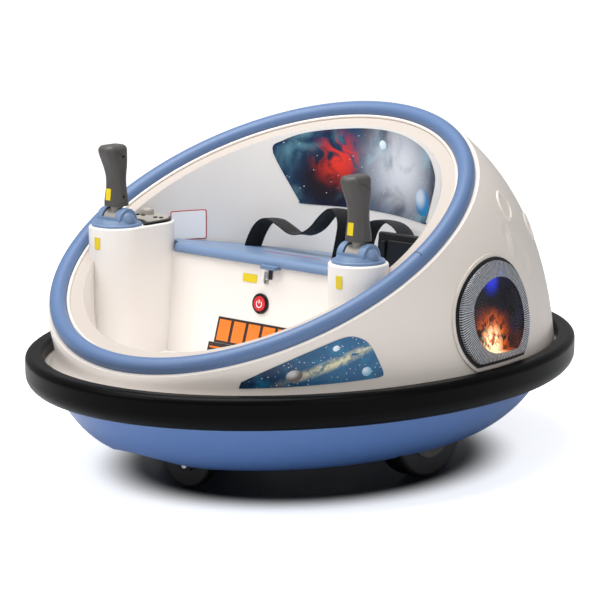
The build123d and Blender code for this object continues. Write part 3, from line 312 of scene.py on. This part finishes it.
def webbing(name, colour, thread_colour):
    """Woven polyester belt: satin chevrons along the strap, from its own run and width."""
    material, tree, shader, _ = new_material(name)
    run = add_node(tree, "ShaderNodeTexCoord").outputs["UV"]
    folded = add_node(tree, "ShaderNodeVectorMath", {"operation": "ABSOLUTE"}, i0=run)
    weave = add_node(tree, "ShaderNodeTexWave",
                     {"bands_direction": "DIAGONAL", "wave_profile": "TRI"},
                     Vector=folded.outputs[0], Scale=ONE_WAVE / THREAD)
    tint = add_node(tree, "ShaderNodeMix", {"data_type": "RGBA"}, i0=weave.outputs["Fac"],
                    i6=linear(colour), i7=linear(thread_colour))
    tree.links.new(tint.outputs[2], shader.inputs["Base Color"])
    bump = add_node(tree, "ShaderNodeBump", Strength=0.6, Distance=0.4 * MM,
                    Height=weave.outputs["Fac"])
    tree.links.new(bump.outputs[0], shader.inputs["Normal"])
    shader.inputs["Roughness"].default_value = 0.62
    shader.inputs["Sheen Weight"].default_value = 0.05
    shader.inputs["Specular IOR Level"].default_value = 0.25
    return material


def clear_moulding(name, colour):
    """Clear polycarbonate lens, thin enough to be seen through, with a moulded ripple."""
    material, tree, shader, place = new_material(name)
    ripple = add_node(tree, "ShaderNodeTexNoise", Vector=place, Scale=1 / LENS_RIPPLE, Detail=1.0)
    bump = add_node(tree, "ShaderNodeBump", Strength=0.08, Distance=1 * MM,
                    Height=ripple.outputs["Fac"])
    tree.links.new(bump.outputs[0], shader.inputs["Normal"])
    shader.inputs["Base Color"].default_value = linear(colour)
    shader.inputs["Roughness"].default_value = 0.05
    shader.inputs["IOR"].default_value = 1.12
    shader.inputs["Transmission Weight"].default_value = 1.0
    shader.inputs["Specular IOR Level"].default_value = 0.3
    return material


def ribbed_moulding(name, colour, clear):
    """Prismatic edge of a clear lens: cloudy, and only half seen through."""
    material, tree, shader, place = new_material(name)
    fog = add_node(tree, "ShaderNodeTexNoise", Vector=place, Scale=1 / LENS_FOG)
    span = add_node(tree, "ShaderNodeMapRange", Value=fog.outputs["Fac"], To_Min=0.18, To_Max=0.34)
    tree.links.new(span.outputs[0], shader.inputs["Roughness"])
    shader.inputs["Base Color"].default_value = linear(colour)
    shader.inputs["IOR"].default_value = 1.45
    shader.inputs["Transmission Weight"].default_value = clear
    return material


def plain_film(name, colour, roughness=0.35):
    """Self-adhesive film, or thin rubber, in one even colour with a trace of grain."""
    material, tree, shader, place = new_material(name)
    grain = add_node(tree, "ShaderNodeTexNoise", Vector=place, Scale=1 / FILM_GRAIN)
    bump = add_node(tree, "ShaderNodeBump", Strength=0.05, Distance=0.1 * MM,
                    Height=grain.outputs["Fac"])
    tree.links.new(bump.outputs[0], shader.inputs["Normal"])
    shader.inputs["Base Color"].default_value = linear(colour)
    shader.inputs["Roughness"].default_value = roughness
    return material


def glowing(name, colour, strength):
    """Lit diode under its tinted dome."""
    material, _, shader, _ = new_material(name)
    shader.inputs["Base Color"].default_value = linear(colour)
    shader.inputs["Emission Color"].default_value = linear(colour)
    shader.inputs["Emission Strength"].default_value = strength
    shader.inputs["Roughness"].default_value = 0.2
    return material


def backrest_print(name):
    """Printed vinyl film: a night sky with teal clouds, a pale glow, a warm cloud and two discs."""
    material, tree, shader, place = new_material(name)
    flat = add_node(tree, "ShaderNodeVectorMath", {"operation": "MULTIPLY"},
                    i0=place, i1=(1, 0, 1)).outputs[0]
    teal = clouds(tree, flat, cell=0.09, low=0.40, high=0.60)
    wisps = clouds(tree, flat, cell=0.05, low=0.48, high=0.70, twist=0.6)
    glow = cloudy(tree, near(tree, flat, (0.060, 0, 0.415), radius=0.006, soft=0.105),
                  flat, cell=0.07, low=0.22, high=0.50, twist=0.4)
    dark = cloudy(tree, near(tree, flat, (-0.085, 0, 0.385), radius=0.020, soft=0.050),
                  flat, cell=0.03, low=0.26, high=0.42)
    warm = cloudy(tree, near(tree, flat, (-0.062, 0, 0.418), radius=0.004, soft=0.052),
                  flat, cell=0.035, low=0.42, high=0.60, twist=1.4)
    sky = lay(tree, linear("#0D1338"), teal, "#163F63")
    sky = lay(tree, sky, wisps, "#6A9FAE", cover=0.7)
    sky = lay(tree, sky, glow, "#D9DCE2")
    sky = lay(tree, sky, dark, "#1B1420")
    sky = lay(tree, sky, warm, "#E8382A")
    sky = lay(tree, sky, stars(tree, flat, spacing=0.010, size=0.0010), "#EAF2FA")
    sky = lay_discs(tree, flat, sky, BACKREST_DISCS, (-0.4, 0, 0.4))
    tree.links.new(sky, shader.inputs["Base Color"])
    shader.inputs["Roughness"].default_value = 0.5
    shader.inputs["Specular IOR Level"].default_value = 0.25
    return material


def side_print(name):
    """Printed vinyl film: teal night with white flecks, a slanting pale band and plain discs."""
    material, tree, shader, place = new_material(name)
    flat = add_node(tree, "ShaderNodeVectorMath", {"operation": "MULTIPLY"},
                    i0=place, i1=(0, 1, 1)).outputs[0]
    teal = near(tree, flat, (0, -0.22, 0.21), radius=0.02, soft=0.11)
    wisps = clouds(tree, flat, cell=0.03, low=0.45, high=0.70)
    band = add_node(tree, "ShaderNodeMapping", {"vector_type": "TEXTURE"}, i0=flat,
                    Location=BAND_PLACE, Rotation=(BAND_SLANT, 0, 0), Scale=BAND_SIZE)
    pale = cloudy(tree, near(tree, band.outputs[0], (0, 0, 0), radius=0.15, soft=0.85),
                  flat, cell=0.012, low=0.30, high=0.60, twist=0.8)
    sky = lay(tree, linear("#0A1436"), teal, "#0C5C8A")
    sky = lay(tree, sky, wisps, "#1E86AE", cover=0.6)
    sky = lay(tree, sky, pale, "#E9E2B4")
    sky = lay(tree, sky, stars(tree, flat, spacing=0.0045, size=0.0008), "#F2F5F8")
    sky = lay_discs(tree, flat, sky, SIDE_DISCS, (0, -0.4, 0.4))
    tree.links.new(sky, shader.inputs["Base Color"])
    shader.inputs["Roughness"].default_value = 0.30
    return material


def lamp_print(name):
    """Lit picture card in a lamp: dark, with a warm glow rising from its foot."""
    material, tree, shader, place = new_material(name)
    wide = mirrored(tree, place)
    haze = cloudy(tree, near(tree, wide, LAMP_GLOW, radius=0.040, soft=0.034),
                  wide, cell=0.030, low=0.40, high=0.60)
    warm = cloudy(tree, near(tree, wide, LAMP_GLOW, radius=0.015, soft=0.042),
                  wide, cell=0.013, low=0.40, high=0.55, twist=1.6)
    core = cloudy(tree, near(tree, wide, LAMP_GLOW, radius=0.008, soft=0.026),
                  wide, cell=0.014, low=0.36, high=0.50, twist=1.2)
    blue = near(tree, wide, LAMP_BLUE, radius=0.002, soft=0.030)
    night = clouds(tree, wide, cell=0.05, low=0.45, high=0.65)
    card = lay(tree, linear("#050507"), night, "#141226")
    card = lay(tree, card, haze, "#5A1E0E", cover=0.8)
    card = lay(tree, card, warm, "#E8661C")
    card = lay(tree, card, core, "#FFEDB8")
    card = lay(tree, card, blue, "#2E3FE0", cover=0.8)
    tree.links.new(card, shader.inputs["Emission Color"])
    shader.inputs["Base Color"].default_value = linear("#060608")
    shader.inputs["Emission Strength"].default_value = 1.5
    shader.inputs["Specular IOR Level"].default_value = 0.2
    shader.inputs["Roughness"].default_value = 0.4
    return material


# mouldings: name, colour, roughness, grain in millimetres, strength of the grain
BLUE_SHELL = moulded_plastic("blue_polyethylene", "#5478B4", 0.36, 1.4, 0.10, coat=0.12)
WHITE_SHELL = moulded_plastic("white_polyethylene", "#E3DAD2", 0.35, 1.6, 0.08, coat=0.25,
                              mottle=0.01)
CREAM_TUB = moulded_plastic("cream_polyethylene", "#EFEAE5", 0.34, 1.6, 0.08, coat=0.12,
                            mottle=0.01)
# painted shade: the rim's flange is toned darker than the cream walls, which it would outshine
# under the top light
paint_rim_shade(CREAM_TUB, "#BDB3AA")
BLUE_FOAM = moulded_plastic("blue_vinyl_foam", "#577199", 0.42, 1.0, 0.16)
BLUE_SEAT = moulded_plastic("blue_seat_polyethylene", "#6A82A3", 0.38, 1.2, 0.12)
BLACK_RING = moulded_plastic("black_soft_vinyl", "#060607", 0.32, 1.2, 0.12, shine=0.06)
BLACK_ABS = moulded_plastic("black_abs", "#0D0D0E", 0.36, 0.8, 0.16, shine=0.3)
GREY_ABS = moulded_plastic("grey_abs", "#4C4947", 0.45, 0.7, 0.20, shine=0.4)
DARK_ABS = moulded_plastic("dark_grey_abs", "#18191A", 0.42, 0.7, 0.20, shine=0.25)
PALE_ABS = moulded_plastic("pale_grey_abs", "#A29C94", 0.42, 0.7, 0.16)
BLACK_WHEEL = moulded_plastic("black_wheel_polyethylene", "#121213", 0.50, 1.5, 0.30)
RED_CAP = moulded_plastic("red_polycarbonate", "#D2202E", 0.22, 1.0, 0.05, coat=0.4)
# the rest: name, colour, then roughness, clearness or strength of the light
ZINC = turned_steel("zinc_plated_steel", "#C6C7CA", 0.30)
BLACK_WEBBING = webbing("black_polyester_webbing", "#0C0C0D", "#1D1D1F")
CLEAR_LENS = clear_moulding("clear_polycarbonate", "#F4F6F8")
RIBBED_LENS = ribbed_moulding("ribbed_polycarbonate", "#BFC3C9", 0.15)
# the grooves between the ribs: the same clear moulding, coloured near black as painted shade
GROOVE_SHADE_LENS = ribbed_moulding("ribbed_polycarbonate_painted_groove_shade", "#15161A", 0.3)
LAMP_CARD = lamp_print("lamp_picture_card")
BACKREST_FILM = backrest_print("backrest_vinyl_print")
SIDE_FILM = side_print("side_vinyl_print")
RED_FILM = plain_film("red_vinyl_film", "#C4343A")
WHITE_FILM = plain_film("white_vinyl_film", "#FCFBFA")
YELLOW_FILM = plain_film("yellow_vinyl_film", "#E3C81E")
BLACK_FILM = plain_film("black_vinyl_film", "#231A17")
ORANGE_FILM = plain_film("orange_vinyl_film", "#F27A1E")
BLACK_RUBBER = plain_film("black_rubber", "#101011", 0.6)
SEAM_DARK = plain_film("dark_joint", "#20242B", 0.7)
BLUE_LED = glowing("blue_diode", "#3A4CFF", 6.0)

NODE_MATERIALS = {
    "lower_hull": BLUE_SHELL, "upper_shell": WHITE_SHELL, "cockpit_tub": CREAM_TUB,
    "bumper_ring": BLACK_RING, "rim_trim_front": BLUE_FOAM, "rim_trim_rear": BLUE_FOAM,
    "seat_panel": BLUE_SEAT, "lever_base_left": BLUE_SEAT, "lever_base_right": BLUE_SEAT,
    "power_button": RED_CAP, "seat_latch": ZINC,
}
PREFIX_MATERIALS = [
    ("lever_grip", GREY_ABS), ("lever_stem", PALE_ABS), ("panel_face", PALE_ABS),
    ("panel_knob", PALE_ABS), ("hub_cap", GREY_ABS), ("belt_web", BLACK_WEBBING),
    ("lamp_lens", CLEAR_LENS), ("lamp_bowl", LAMP_CARD), ("drive_axle", ZINC),
    ("caster_axle", ZINC), ("caster_plate", ZINC), ("drive_wheel", BLACK_WHEEL),
    ("caster_wheel", BLACK_WHEEL), ("", BLACK_ABS),
]


def dress_cad_nodes():
    """Each CAD node gets its own material, or that of the first prefix it has."""
    for name, piece in nodes.items():
        material = NODE_MATERIALS.get(name)
        if material is None:
            material = next(m for prefix, m in PREFIX_MATERIALS if name.startswith(prefix))
        piece.data.materials.clear()
        piece.data.materials.append(material)


# --------------------------------------------------------------- modelling steps
def select_only(piece):
    """Leaves one piece selected and active."""
    bpy.ops.object.select_all(action="DESELECT")
    piece.select_set(True)
    bpy.context.view_layer.objects.active = piece


def apply_modifier(piece, kind, **settings):
    """Adds one modifier with its settings and applies it."""
    modifier = piece.modifiers.new(kind.lower(), kind)
    for name, value in settings.items():
        setattr(modifier, name, value)
    select_only(piece)
    bpy.ops.object.modifier_apply(modifier=modifier.name)


def rounded_box(corners, radius, steps=5):
    """Outline of a box with rounded corners, from its low and high corner."""
    (u0, v0), (u1, v1) = corners
    middle_u, middle_v = (u0 + u1) / 2, (v0 + v1) / 2
    points = []
    for u, v, start in ((u1, v1, 0), (u0, v1, 90), (u0, v0, 180), (u1, v0, 270)):
        centre_u = u - math.copysign(radius, u - middle_u)
        centre_v = v - math.copysign(radius, v - middle_v)
        for i in range(steps + 1):
            turn = math.radians(start + 90 * i / steps)
            points.append((centre_u + radius * math.cos(turn), centre_v + radius * math.sin(turn)))
    return points


def moved(corners, across, up=0.0):
    """A box's two corners moved across and up."""
    return [(u + across, v + up) for u, v in corners]


def smooth_outline(points, steps, sharp):
    """Closed curve through a few points, kept sharp at the listed ones."""
    curve = []
    count = len(points)
    for i in range(count):
        p0, p1, p2, p3 = (Vector(points[(i + k) % count]) for k in (-1, 0, 1, 2))
        out = Vector((0, 0)) if i in sharp else (p2 - p0) / 2
        into = Vector((0, 0)) if (i + 1) % count in sharp else (p3 - p1) / 2
        for k in range(steps):
            t = k / steps
            curve.append((2 * t**3 - 3 * t**2 + 1) * p1 + (t**3 - 2 * t**2 + t) * out
                         + (3 * t**2 - 2 * t**3) * p2 + (t**3 - t**2) * into)
    return [tuple(p) for p in curve]


def cut_across(piece, step):
    """Cuts a flat outline into squares of one step."""
    select_only(piece)
    spans = [(min(v.co[a] for v in piece.data.vertices), max(v.co[a] for v in piece.data.vertices))
             for a in (0, 1)]
    bpy.ops.object.mode_set(mode="EDIT")
    for way, (low, high) in zip(((1, 0, 0), (0, 1, 0)), spans):
        for k in range(math.floor(low / step) + 1, math.ceil(high / step)):
            bpy.ops.mesh.select_all(action="SELECT")
            bpy.ops.mesh.bisect(plane_co=[c * k * step for c in way], plane_no=way)
    bpy.ops.object.mode_set(mode="OBJECT")


# a film's own two directions, and the way its points go to the surface
FROM_FRONT = (ALONG_X, ALONG_Z, ALONG_Y)
FROM_ABOVE = (ALONG_X, ALONG_Y, -ALONG_Z)
FROM_SIDE = {1: (ALONG_Y, ALONG_Z, -ALONG_X), -1: (ALONG_Y, ALONG_Z, ALONG_X)}


def lay_on(piece, node, facing, start, lift):
    """Lays a flat piece on a node, each point sent along the look until it meets the surface."""
    across, upward, look = facing
    for vertex in piece.data.vertices:
        origin = across * vertex.co.x + upward * vertex.co.y - look * start
        hit, place, normal, _ = nodes[node].ray_cast(origin, look)
        if not hit:
            raise ValueError(f"{piece.name} misses {node} at {tuple(origin)}")
        if normal.dot(look) > 0:
            normal = -normal
        vertex.co = place + normal * lift


def film(name, outline, node, facing, start, material, step=0.008, lift=FILM_LIFT,
         thick=FILM_THICK, body="chassis"):
    """A film: its outline cut into squares, laid on a node and given its thickness."""
    bpy.ops.object.select_all(action="DESELECT")
    bpy.ops.mesh.primitive_circle_add(vertices=len(outline), fill_type="NGON")
    piece = bpy.context.object
    piece.name = name
    for vertex, (u, v) in zip(piece.data.vertices, outline):
        vertex.co = (u, v, 0)
    cut_across(piece, step)
    lay_on(piece, node, facing, start, lift)
    select_only(piece)
    bpy.ops.object.mode_set(mode="EDIT")
    bpy.ops.mesh.select_all(action="SELECT")
    bpy.ops.mesh.normals_make_consistent(inside=False)
    bpy.ops.object.mode_set(mode="OBJECT")
    look = facing[2]
    if piece.data.polygons[0].normal.dot(look) > 0:
        piece.data.flip_normals()
    apply_modifier(piece, "SOLIDIFY", thickness=thick, offset=1)
    piece.data.materials.append(material)
    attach(piece, body)


# ----------------------------------------------------------------- prints, labels
def make_prints():
    """The printed films on the backrest and on both sides."""
    film("backrest_print", smooth_outline(BACKREST, 5, BACKREST_CORNERS), "cockpit_tub",
         FROM_FRONT, OVER_SEAT, BACKREST_FILM)
    for name, side in SIDES.items():
        film(f"side_print_{name}", smooth_outline(SIDE_PICTURE, 4, SIDE_CORNERS), "upper_shell",
             FROM_SIDE[side], OUTSIDE, SIDE_FILM)


def make_labels():
    """Blank labels: on the right wall, the bench, the pillars and the grips."""
    film("warning_label_border", rounded_box(WARNING_BORDER, 0.003), "cockpit_tub",
         FROM_SIDE[1], IN_THE_MIDDLE, RED_FILM)
    film("warning_label", rounded_box(WARNING_FIELD, 0.002), "cockpit_tub",
         FROM_SIDE[1], IN_THE_MIDDLE, WHITE_FILM, lift=SECOND_LIFT)
    film("bench_label", rounded_box(BENCH_LABEL, 0.001), "cockpit_tub",
         FROM_FRONT, BEFORE_PILLARS, YELLOW_FILM)
    for name, side in SIDES.items():
        film(f"pillar_label_{name}", rounded_box(moved(PILLAR_LABEL, side * PILLAR_X), 0.001),
             "cockpit_tub", FROM_FRONT, BEFORE_PILLARS, YELLOW_FILM, step=0.002)
        film(f"grip_label_{name}", rounded_box(moved(GRIP_LABEL, side * PILLAR_X), 0.0008),
             f"lever_grip_{name}", FROM_FRONT, BEFORE_PILLARS, YELLOW_FILM, step=0.0015,
             lift=0.0003, body=f"lever_{name}")
    film("seat_stripe", SEAT_STRIPE, "seat_panel", FROM_ABOVE, OUTSIDE, RED_FILM, body="seat")


def leaning(corners):
    """A box's outline with its uprights slanted like the badge."""
    (u0, v0), (u1, v1) = corners
    low, high = BADGE_LEAN * (v0 - BADGE_LEVEL), BADGE_LEAN * (v1 - BADGE_LEVEL)
    return [(u0 + low, v0), (u1 + low, v0), (u1 + high, v1), (u0 + high, v1)]


def make_badge():
    """The plain striped badge low on the bench's front."""
    film("badge_ground", leaning(BADGE_GROUND), "cockpit_tub",
         FROM_FRONT, BEFORE_BENCH, BLACK_FILM)
    film("badge_foot", leaning(BADGE_FOOT), "cockpit_tub", FROM_FRONT, BEFORE_BENCH, BLACK_FILM)
    for k in range(BADGE_BARS):
        film(f"badge_bar_{k}", leaning(moved(BADGE_BAR, BADGE_PITCH * k)), "cockpit_tub",
             FROM_FRONT, BEFORE_BENCH, ORANGE_FILM, lift=SECOND_LIFT)
    film("badge_line", leaning(BADGE_LINE), "cockpit_tub",
         FROM_FRONT, BEFORE_BENCH, ORANGE_FILM, lift=SECOND_LIFT)


def make_bench_fittings():
    """The rubber strap of the seat's latch, and the mark on the power button."""
    film("latch_strap", rounded_box(LATCH_STRAP, 0.0012), "cockpit_tub",
         FROM_FRONT, BEFORE_PILLARS, BLACK_RUBBER, step=0.004, thick=LATCH_STRAP_THICK)
    u, v = POWER_BUTTON
    ring = [(u + radius * math.sin(math.radians(turn)), v + radius * math.cos(math.radians(turn)))
            for radius, turns in zip(MARK_RING, (MARK_TURNS, reversed(MARK_TURNS)))
            for turn in turns]
    bar = rounded_box(moved(MARK_BAR, u, v), 0.0004)
    for name, outline in (("power_mark_ring", ring), ("power_mark_bar", bar)):
        film(name, outline, "power_button", FROM_FRONT, BEFORE_PILLARS, WHITE_FILM,
             lift=THIN_LIFT)


def make_cap_lines():
    """The joint between the two halves of each grip, from its front top down to its rear."""
    for name, side in SIDES.items():
        low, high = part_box(f"lever_grip_{name}")
        along = {"front": low[1], "middle": (low[1] + high[1]) / 2, "rear": high[1]}
        line = [(along[part] + u, high[2] + v) for part, u, v in CAP_LINE]
        wide, tall = CAP_LINE_WIDTH
        outline = line + [(u - wide, v - tall) for u, v in reversed(line)]
        for face, way in (("outer", side), ("inner", -side)):
            film(f"cap_line_{name}_{face}", outline, f"lever_grip_{name}", FROM_SIDE[way],
                 OUTSIDE, SEAM_DARK, step=0.004, lift=THIN_LIFT, thick=LINE_THICK,
                 body=f"lever_{name}")


def make_trim_seams():
    """The dark joint line between the foam trim's two halves."""
    (inner, front), (outer, rear) = TRIM_SEAM
    for name, side in SIDES.items():
        across = sorted((side * inner, side * outer))
        film(f"trim_seam_{name}", rounded_box(list(zip(across, (front, rear))), 0.0005, 1),
             "rim_trim_rear", FROM_ABOVE, OUTSIDE, SEAM_DARK, step=0.002, lift=THIN_LIFT,
             thick=LINE_THICK)


def make_rim_bead():
    """The rounded white edge of the cockpit that shows inside the foam trim."""
    bpy.ops.object.select_all(action="DESELECT")
    bpy.ops.mesh.primitive_torus_add(major_segments=240, minor_segments=10, major_radius=1.0,
                                     minor_radius=BEAD)
    bead = bpy.context.object
    bead.name = "rim_bead"
    tilt = Matrix.Rotation(RIM_TILT, 3, "X")
    half_width, half_length = TRIM_INNER
    for vertex in bead.data.vertices:
        x, y, z = vertex.co
        out = math.hypot(x, y)
        place = Vector((x / out * (half_width - BEAD + out - 1),
                        y / out * (half_length - BEAD + out - 1), z + BEAD * BEAD_RISE))
        vertex.co = RIM_CENTRE + tilt @ place
    bpy.ops.object.shade_smooth()
    bead.data.materials.append(WHITE_SHELL)
    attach(bead, "chassis")


# --------------------------------------------------------------- belts and buckle
def belt_line(along, route, up):
    """Points along a belt's smooth route, up from the seat's surface."""
    start = Vector((0, along, BENCH_TOP + BENCH_SLOPE * (along - BENCH_FRONT_Y) + SEAT_THICK))
    curve = bpy.data.curves.new("route", "CURVE")
    curve.dimensions = "3D"
    spline = curve.splines.new("NURBS")
    spline.points.add(len(route) - 1)
    for point, (u, v) in zip(spline.points, route):
        point.co = (*(start + ALONG_X * u + up * v), 1)
    spline.order_u, spline.use_endpoint_u, spline.resolution_u = 3, True, BELT_STEPS
    line = bpy.data.meshes.new_from_object(bpy.data.objects.new("route", curve))
    return [v.co.copy() for v in line.vertices]


def make_belt(name):
    """A belt web: a flat woven strap swept along its route, slightly crowned, with rounded edges.
    """
    along, route = BELTS[name]
    up = Vector((0, -BENCH_SLOPE, 1)).normalized()
    width_way = ALONG_X.cross(up)
    points = belt_line(along, route, up)
    last = len(points) - 1
    ways = [(points[min(i + 1, last)] - points[max(i - 1, 0)]).normalized()
            for i in range(last + 1)]
    runs = [0.0]
    for first, second in zip(points, points[1:]):
        runs.append(runs[-1] + (second - first).length)
    bpy.ops.object.select_all(action="DESELECT")
    bpy.ops.mesh.primitive_grid_add(x_subdivisions=last, y_subdivisions=BELT_COLUMNS)
    belt = bpy.context.object
    belt.name = f"belt_{name}"
    run_and_width = {}
    for vertex in belt.data.vertices:
        i = round((vertex.co.x + 1) / 2 * last)
        side = vertex.co.y
        run_and_width[vertex.index] = (runs[i], side * BELT_WIDTH / 2)
        crown = width_way.cross(ways[i]) * BELT_CROWN * (1 - side * side)
        vertex.co = points[i] - width_way * side * BELT_WIDTH / 2 + crown
    for loop, uv in zip(belt.data.loops, belt.data.uv_layers[0].data):
        uv.uv = run_and_width[loop.vertex_index]
    apply_modifier(belt, "SOLIDIFY", thickness=BELT_THICK, offset=0)
    apply_modifier(belt, "BEVEL", width=BELT_EDGE, segments=2, limit_method="ANGLE")
    bpy.ops.object.shade_smooth()
    belt.data.materials.append(BLACK_WEBBING)
    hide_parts(f"belt_web_{name}")
    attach(belt, "seat")


def make_buckle_face():
    """The dark body and tongue that stand proud of the buckle's front."""
    low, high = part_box("belt_buckle")
    width, tall = high[0] - low[0], high[2] - low[2]
    for name, (size, middle, rounding) in BUCKLE_PLATES.items():
        bpy.ops.object.select_all(action="DESELECT")
        bpy.ops.mesh.primitive_cube_add(size=1)
        plate = bpy.context.object
        plate.name = name
        plate.scale = (width * size[0], BUCKLE_PLATE_THICK, tall * size[1])
        bpy.ops.object.transform_apply(location=False, rotation=False, scale=True)
        apply_modifier(plate, "BEVEL", width=rounding, segments=3)
        plate.location = (low[0] + width * middle[0], low[1] + BUCKLE_PLATE_SUNK,
                          low[2] + tall * middle[1])
        bpy.ops.object.transform_apply(location=True, rotation=True, scale=True)
        plate.data.materials.append(DARK_ABS)
        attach(plate, "seat")


# -------------------------------------------------------------------------- lamps
def lamp_edge(turn, margin):
    """Place along and height of the lamp's outline at one turn, drawn in by a margin."""
    fall, reach, drop = LAMP_FORE if math.cos(turn) < 0 else LAMP_AFT
    tall = fall if math.sin(turn) > 0 else drop
    along = LAMP_Y + (reach - margin) * math.cos(turn)
    height = LAMP_CROWN - fall + (tall - margin) * math.sin(turn)
    foot = LAMP_FOOT + min(margin, LENS_EDGE + BAND_FOOT * margin / BAND_FORE)
    return along, max(height, foot)


def make_lamp_band(name, side):
    """Ribbed edge of a lens: up its side wall and in over its face, by ribs and grooves, the
    grooves in painted shade.
    """
    columns = RIB_COUNT * 2
    bpy.ops.object.select_all(action="DESELECT")
    bpy.ops.mesh.primitive_grid_add(x_subdivisions=columns, y_subdivisions=BAND_ROWS)
    band = bpy.context.object
    band.name = f"lamp_band_{name}"
    for vertex in band.data.vertices:
        column = round((vertex.co.x + 1) / 2 * columns)
        row = round((vertex.co.y + 1) / 2 * BAND_ROWS)
        turn = 2 * math.pi * column / columns
        wide = (BAND_FORE + BAND_AFT) / 2 - (BAND_FORE - BAND_AFT) / 2 * math.cos(turn)
        inward = LENS_EDGE + BAND_INSIDE + wide * max(row - 1, 0) / (BAND_ROWS - 1)
        along, height = lamp_edge(turn, inward)
        _, place, _, _ = nodes[f"lamp_lens_{name}"].ray_cast(
            Vector((side * OUTSIDE, along, height)), -side * ALONG_X)
        vertex.co = place + side * ALONG_X * FILM_LIFT
        if row == 0:
            along, height = lamp_edge(turn, LENS_EDGE - BAND_OUTSIDE)
            vertex.co = Vector((place.x - side * BAND_WALL, along, height))
    band.data.materials.append(RIBBED_LENS)
    # every second column takes the dark copy: painted shade in the grooves between the ribs
    band.data.materials.append(GROOVE_SHADE_LENS)
    for polygon in band.data.polygons:
        polygon.material_index = polygon.index % columns % 2
    apply_modifier(band, "WELD", merge_threshold=0.00005)
    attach(band, "chassis")


def make_lamp_leds(name, side):
    """Small blue diodes at the head of a lamp."""
    for k, (along, height) in enumerate(LEDS):
        bpy.ops.object.select_all(action="DESELECT")
        bpy.ops.mesh.primitive_uv_sphere_add(segments=16, ring_count=8, radius=LED_RADIUS,
                                             location=(side * LED_X, along, height))
        led = bpy.context.object
        led.name = f"lamp_led_{name}_{k}"
        bpy.ops.object.transform_apply(location=True, scale=True, rotation=True)
        bpy.ops.object.shade_smooth()
        led.data.materials.append(BLUE_LED)
        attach(led, "chassis")


# --------------------------------------------------------------- camera and studio
def set_camera():
    """A long lens from the car's front left, a little above it."""
    back = Vector((
        math.sin(CAMERA_AZIMUTH) * math.cos(CAMERA_ELEVATION),
        -math.cos(CAMERA_AZIMUTH) * math.cos(CAMERA_ELEVATION),
        math.sin(CAMERA_ELEVATION),
    ))
    data = bpy.data.cameras.new("camera")
    data.sensor_width, data.lens = SENSOR, LENS
    data.shift_x, data.shift_y = SHIFT_X, SHIFT_Y
    data.clip_end = 50
    camera = bpy.data.objects.new("camera", data)
    bpy.context.collection.objects.link(camera)
    camera.location = CAMERA_TARGET + CAMERA_DISTANCE * back
    camera.rotation_euler = back.to_track_quat("Z", "Y").to_euler()
    bpy.context.scene.camera = camera


def set_floor():
    """A pale floor that the camera sees almost white, darkened under the car."""
    bpy.ops.mesh.primitive_plane_add(size=FLOOR_SIZE)
    floor = bpy.context.object
    floor.name = "floor"
    material, tree, shader, place = new_material("pale_floor")
    spot = add_node(tree, "ShaderNodeMapping", {"vector_type": "TEXTURE"}, i0=place,
                    Location=SHADOW_PLACE, Scale=SHADOW_SIZE)
    shade = near(tree, spot.outputs[0], (0, 0, 0), SHADOW_CORE, SHADOW_SOFT)
    tone = lay(tree, linear("#F4F5F7"), shade, "#08090C")
    tree.links.new(tone, shader.inputs["Base Color"])
    tree.links.new(tone, shader.inputs["Emission Color"])
    seen = add_node(tree, "ShaderNodeLightPath").outputs["Is Camera Ray"]
    glow = add_node(tree, "ShaderNodeMath", {"operation": "MULTIPLY"}, i0=seen, i1=FLOOR_GLOW)
    tree.links.new(glow.outputs[0], shader.inputs["Emission Strength"])
    shader.inputs["Roughness"].default_value = 0.25
    shader.inputs["Specular IOR Level"].default_value = 0.15
    floor.data.materials.append(material)


def set_light():
    """White surroundings, dimmer as light than they look, and three softboxes."""
    world = bpy.data.worlds.new("studio")
    bpy.context.scene.world = world
    world.use_nodes = True
    tree = world.node_tree
    seen = add_node(tree, "ShaderNodeLightPath").outputs["Is Camera Ray"]
    light = add_node(tree, "ShaderNodeMapRange", Value=seen, To_Min=SKY_LIGHT, To_Max=1.0)
    background = tree.nodes["Background"]
    background.inputs["Color"].default_value = linear("#FFFFFF")
    tree.links.new(light.outputs[0], background.inputs["Strength"])
    for name, place, size, power in SOFTBOXES:
        data = bpy.data.lights.new(name, "AREA")
        data.size, data.energy = size, power
        lamp = bpy.data.objects.new(name, data)
        bpy.context.collection.objects.link(lamp)
        lamp.location = place
        lamp.rotation_euler = (Vector(place) - LIT_POINT).to_track_quat("Z", "Y").to_euler()
    bpy.context.scene.view_settings.view_transform = "Standard"


set_camera()
dress_cad_nodes()
make_prints()
make_labels()
make_badge()
make_bench_fittings()
make_cap_lines()
make_rim_bead()
make_trim_seams()
for name, side in SIDES.items():
    make_belt(name)
    make_lamp_band(name, side)
    make_lamp_leds(name, side)
make_buckle_face()
set_floor()
set_light()
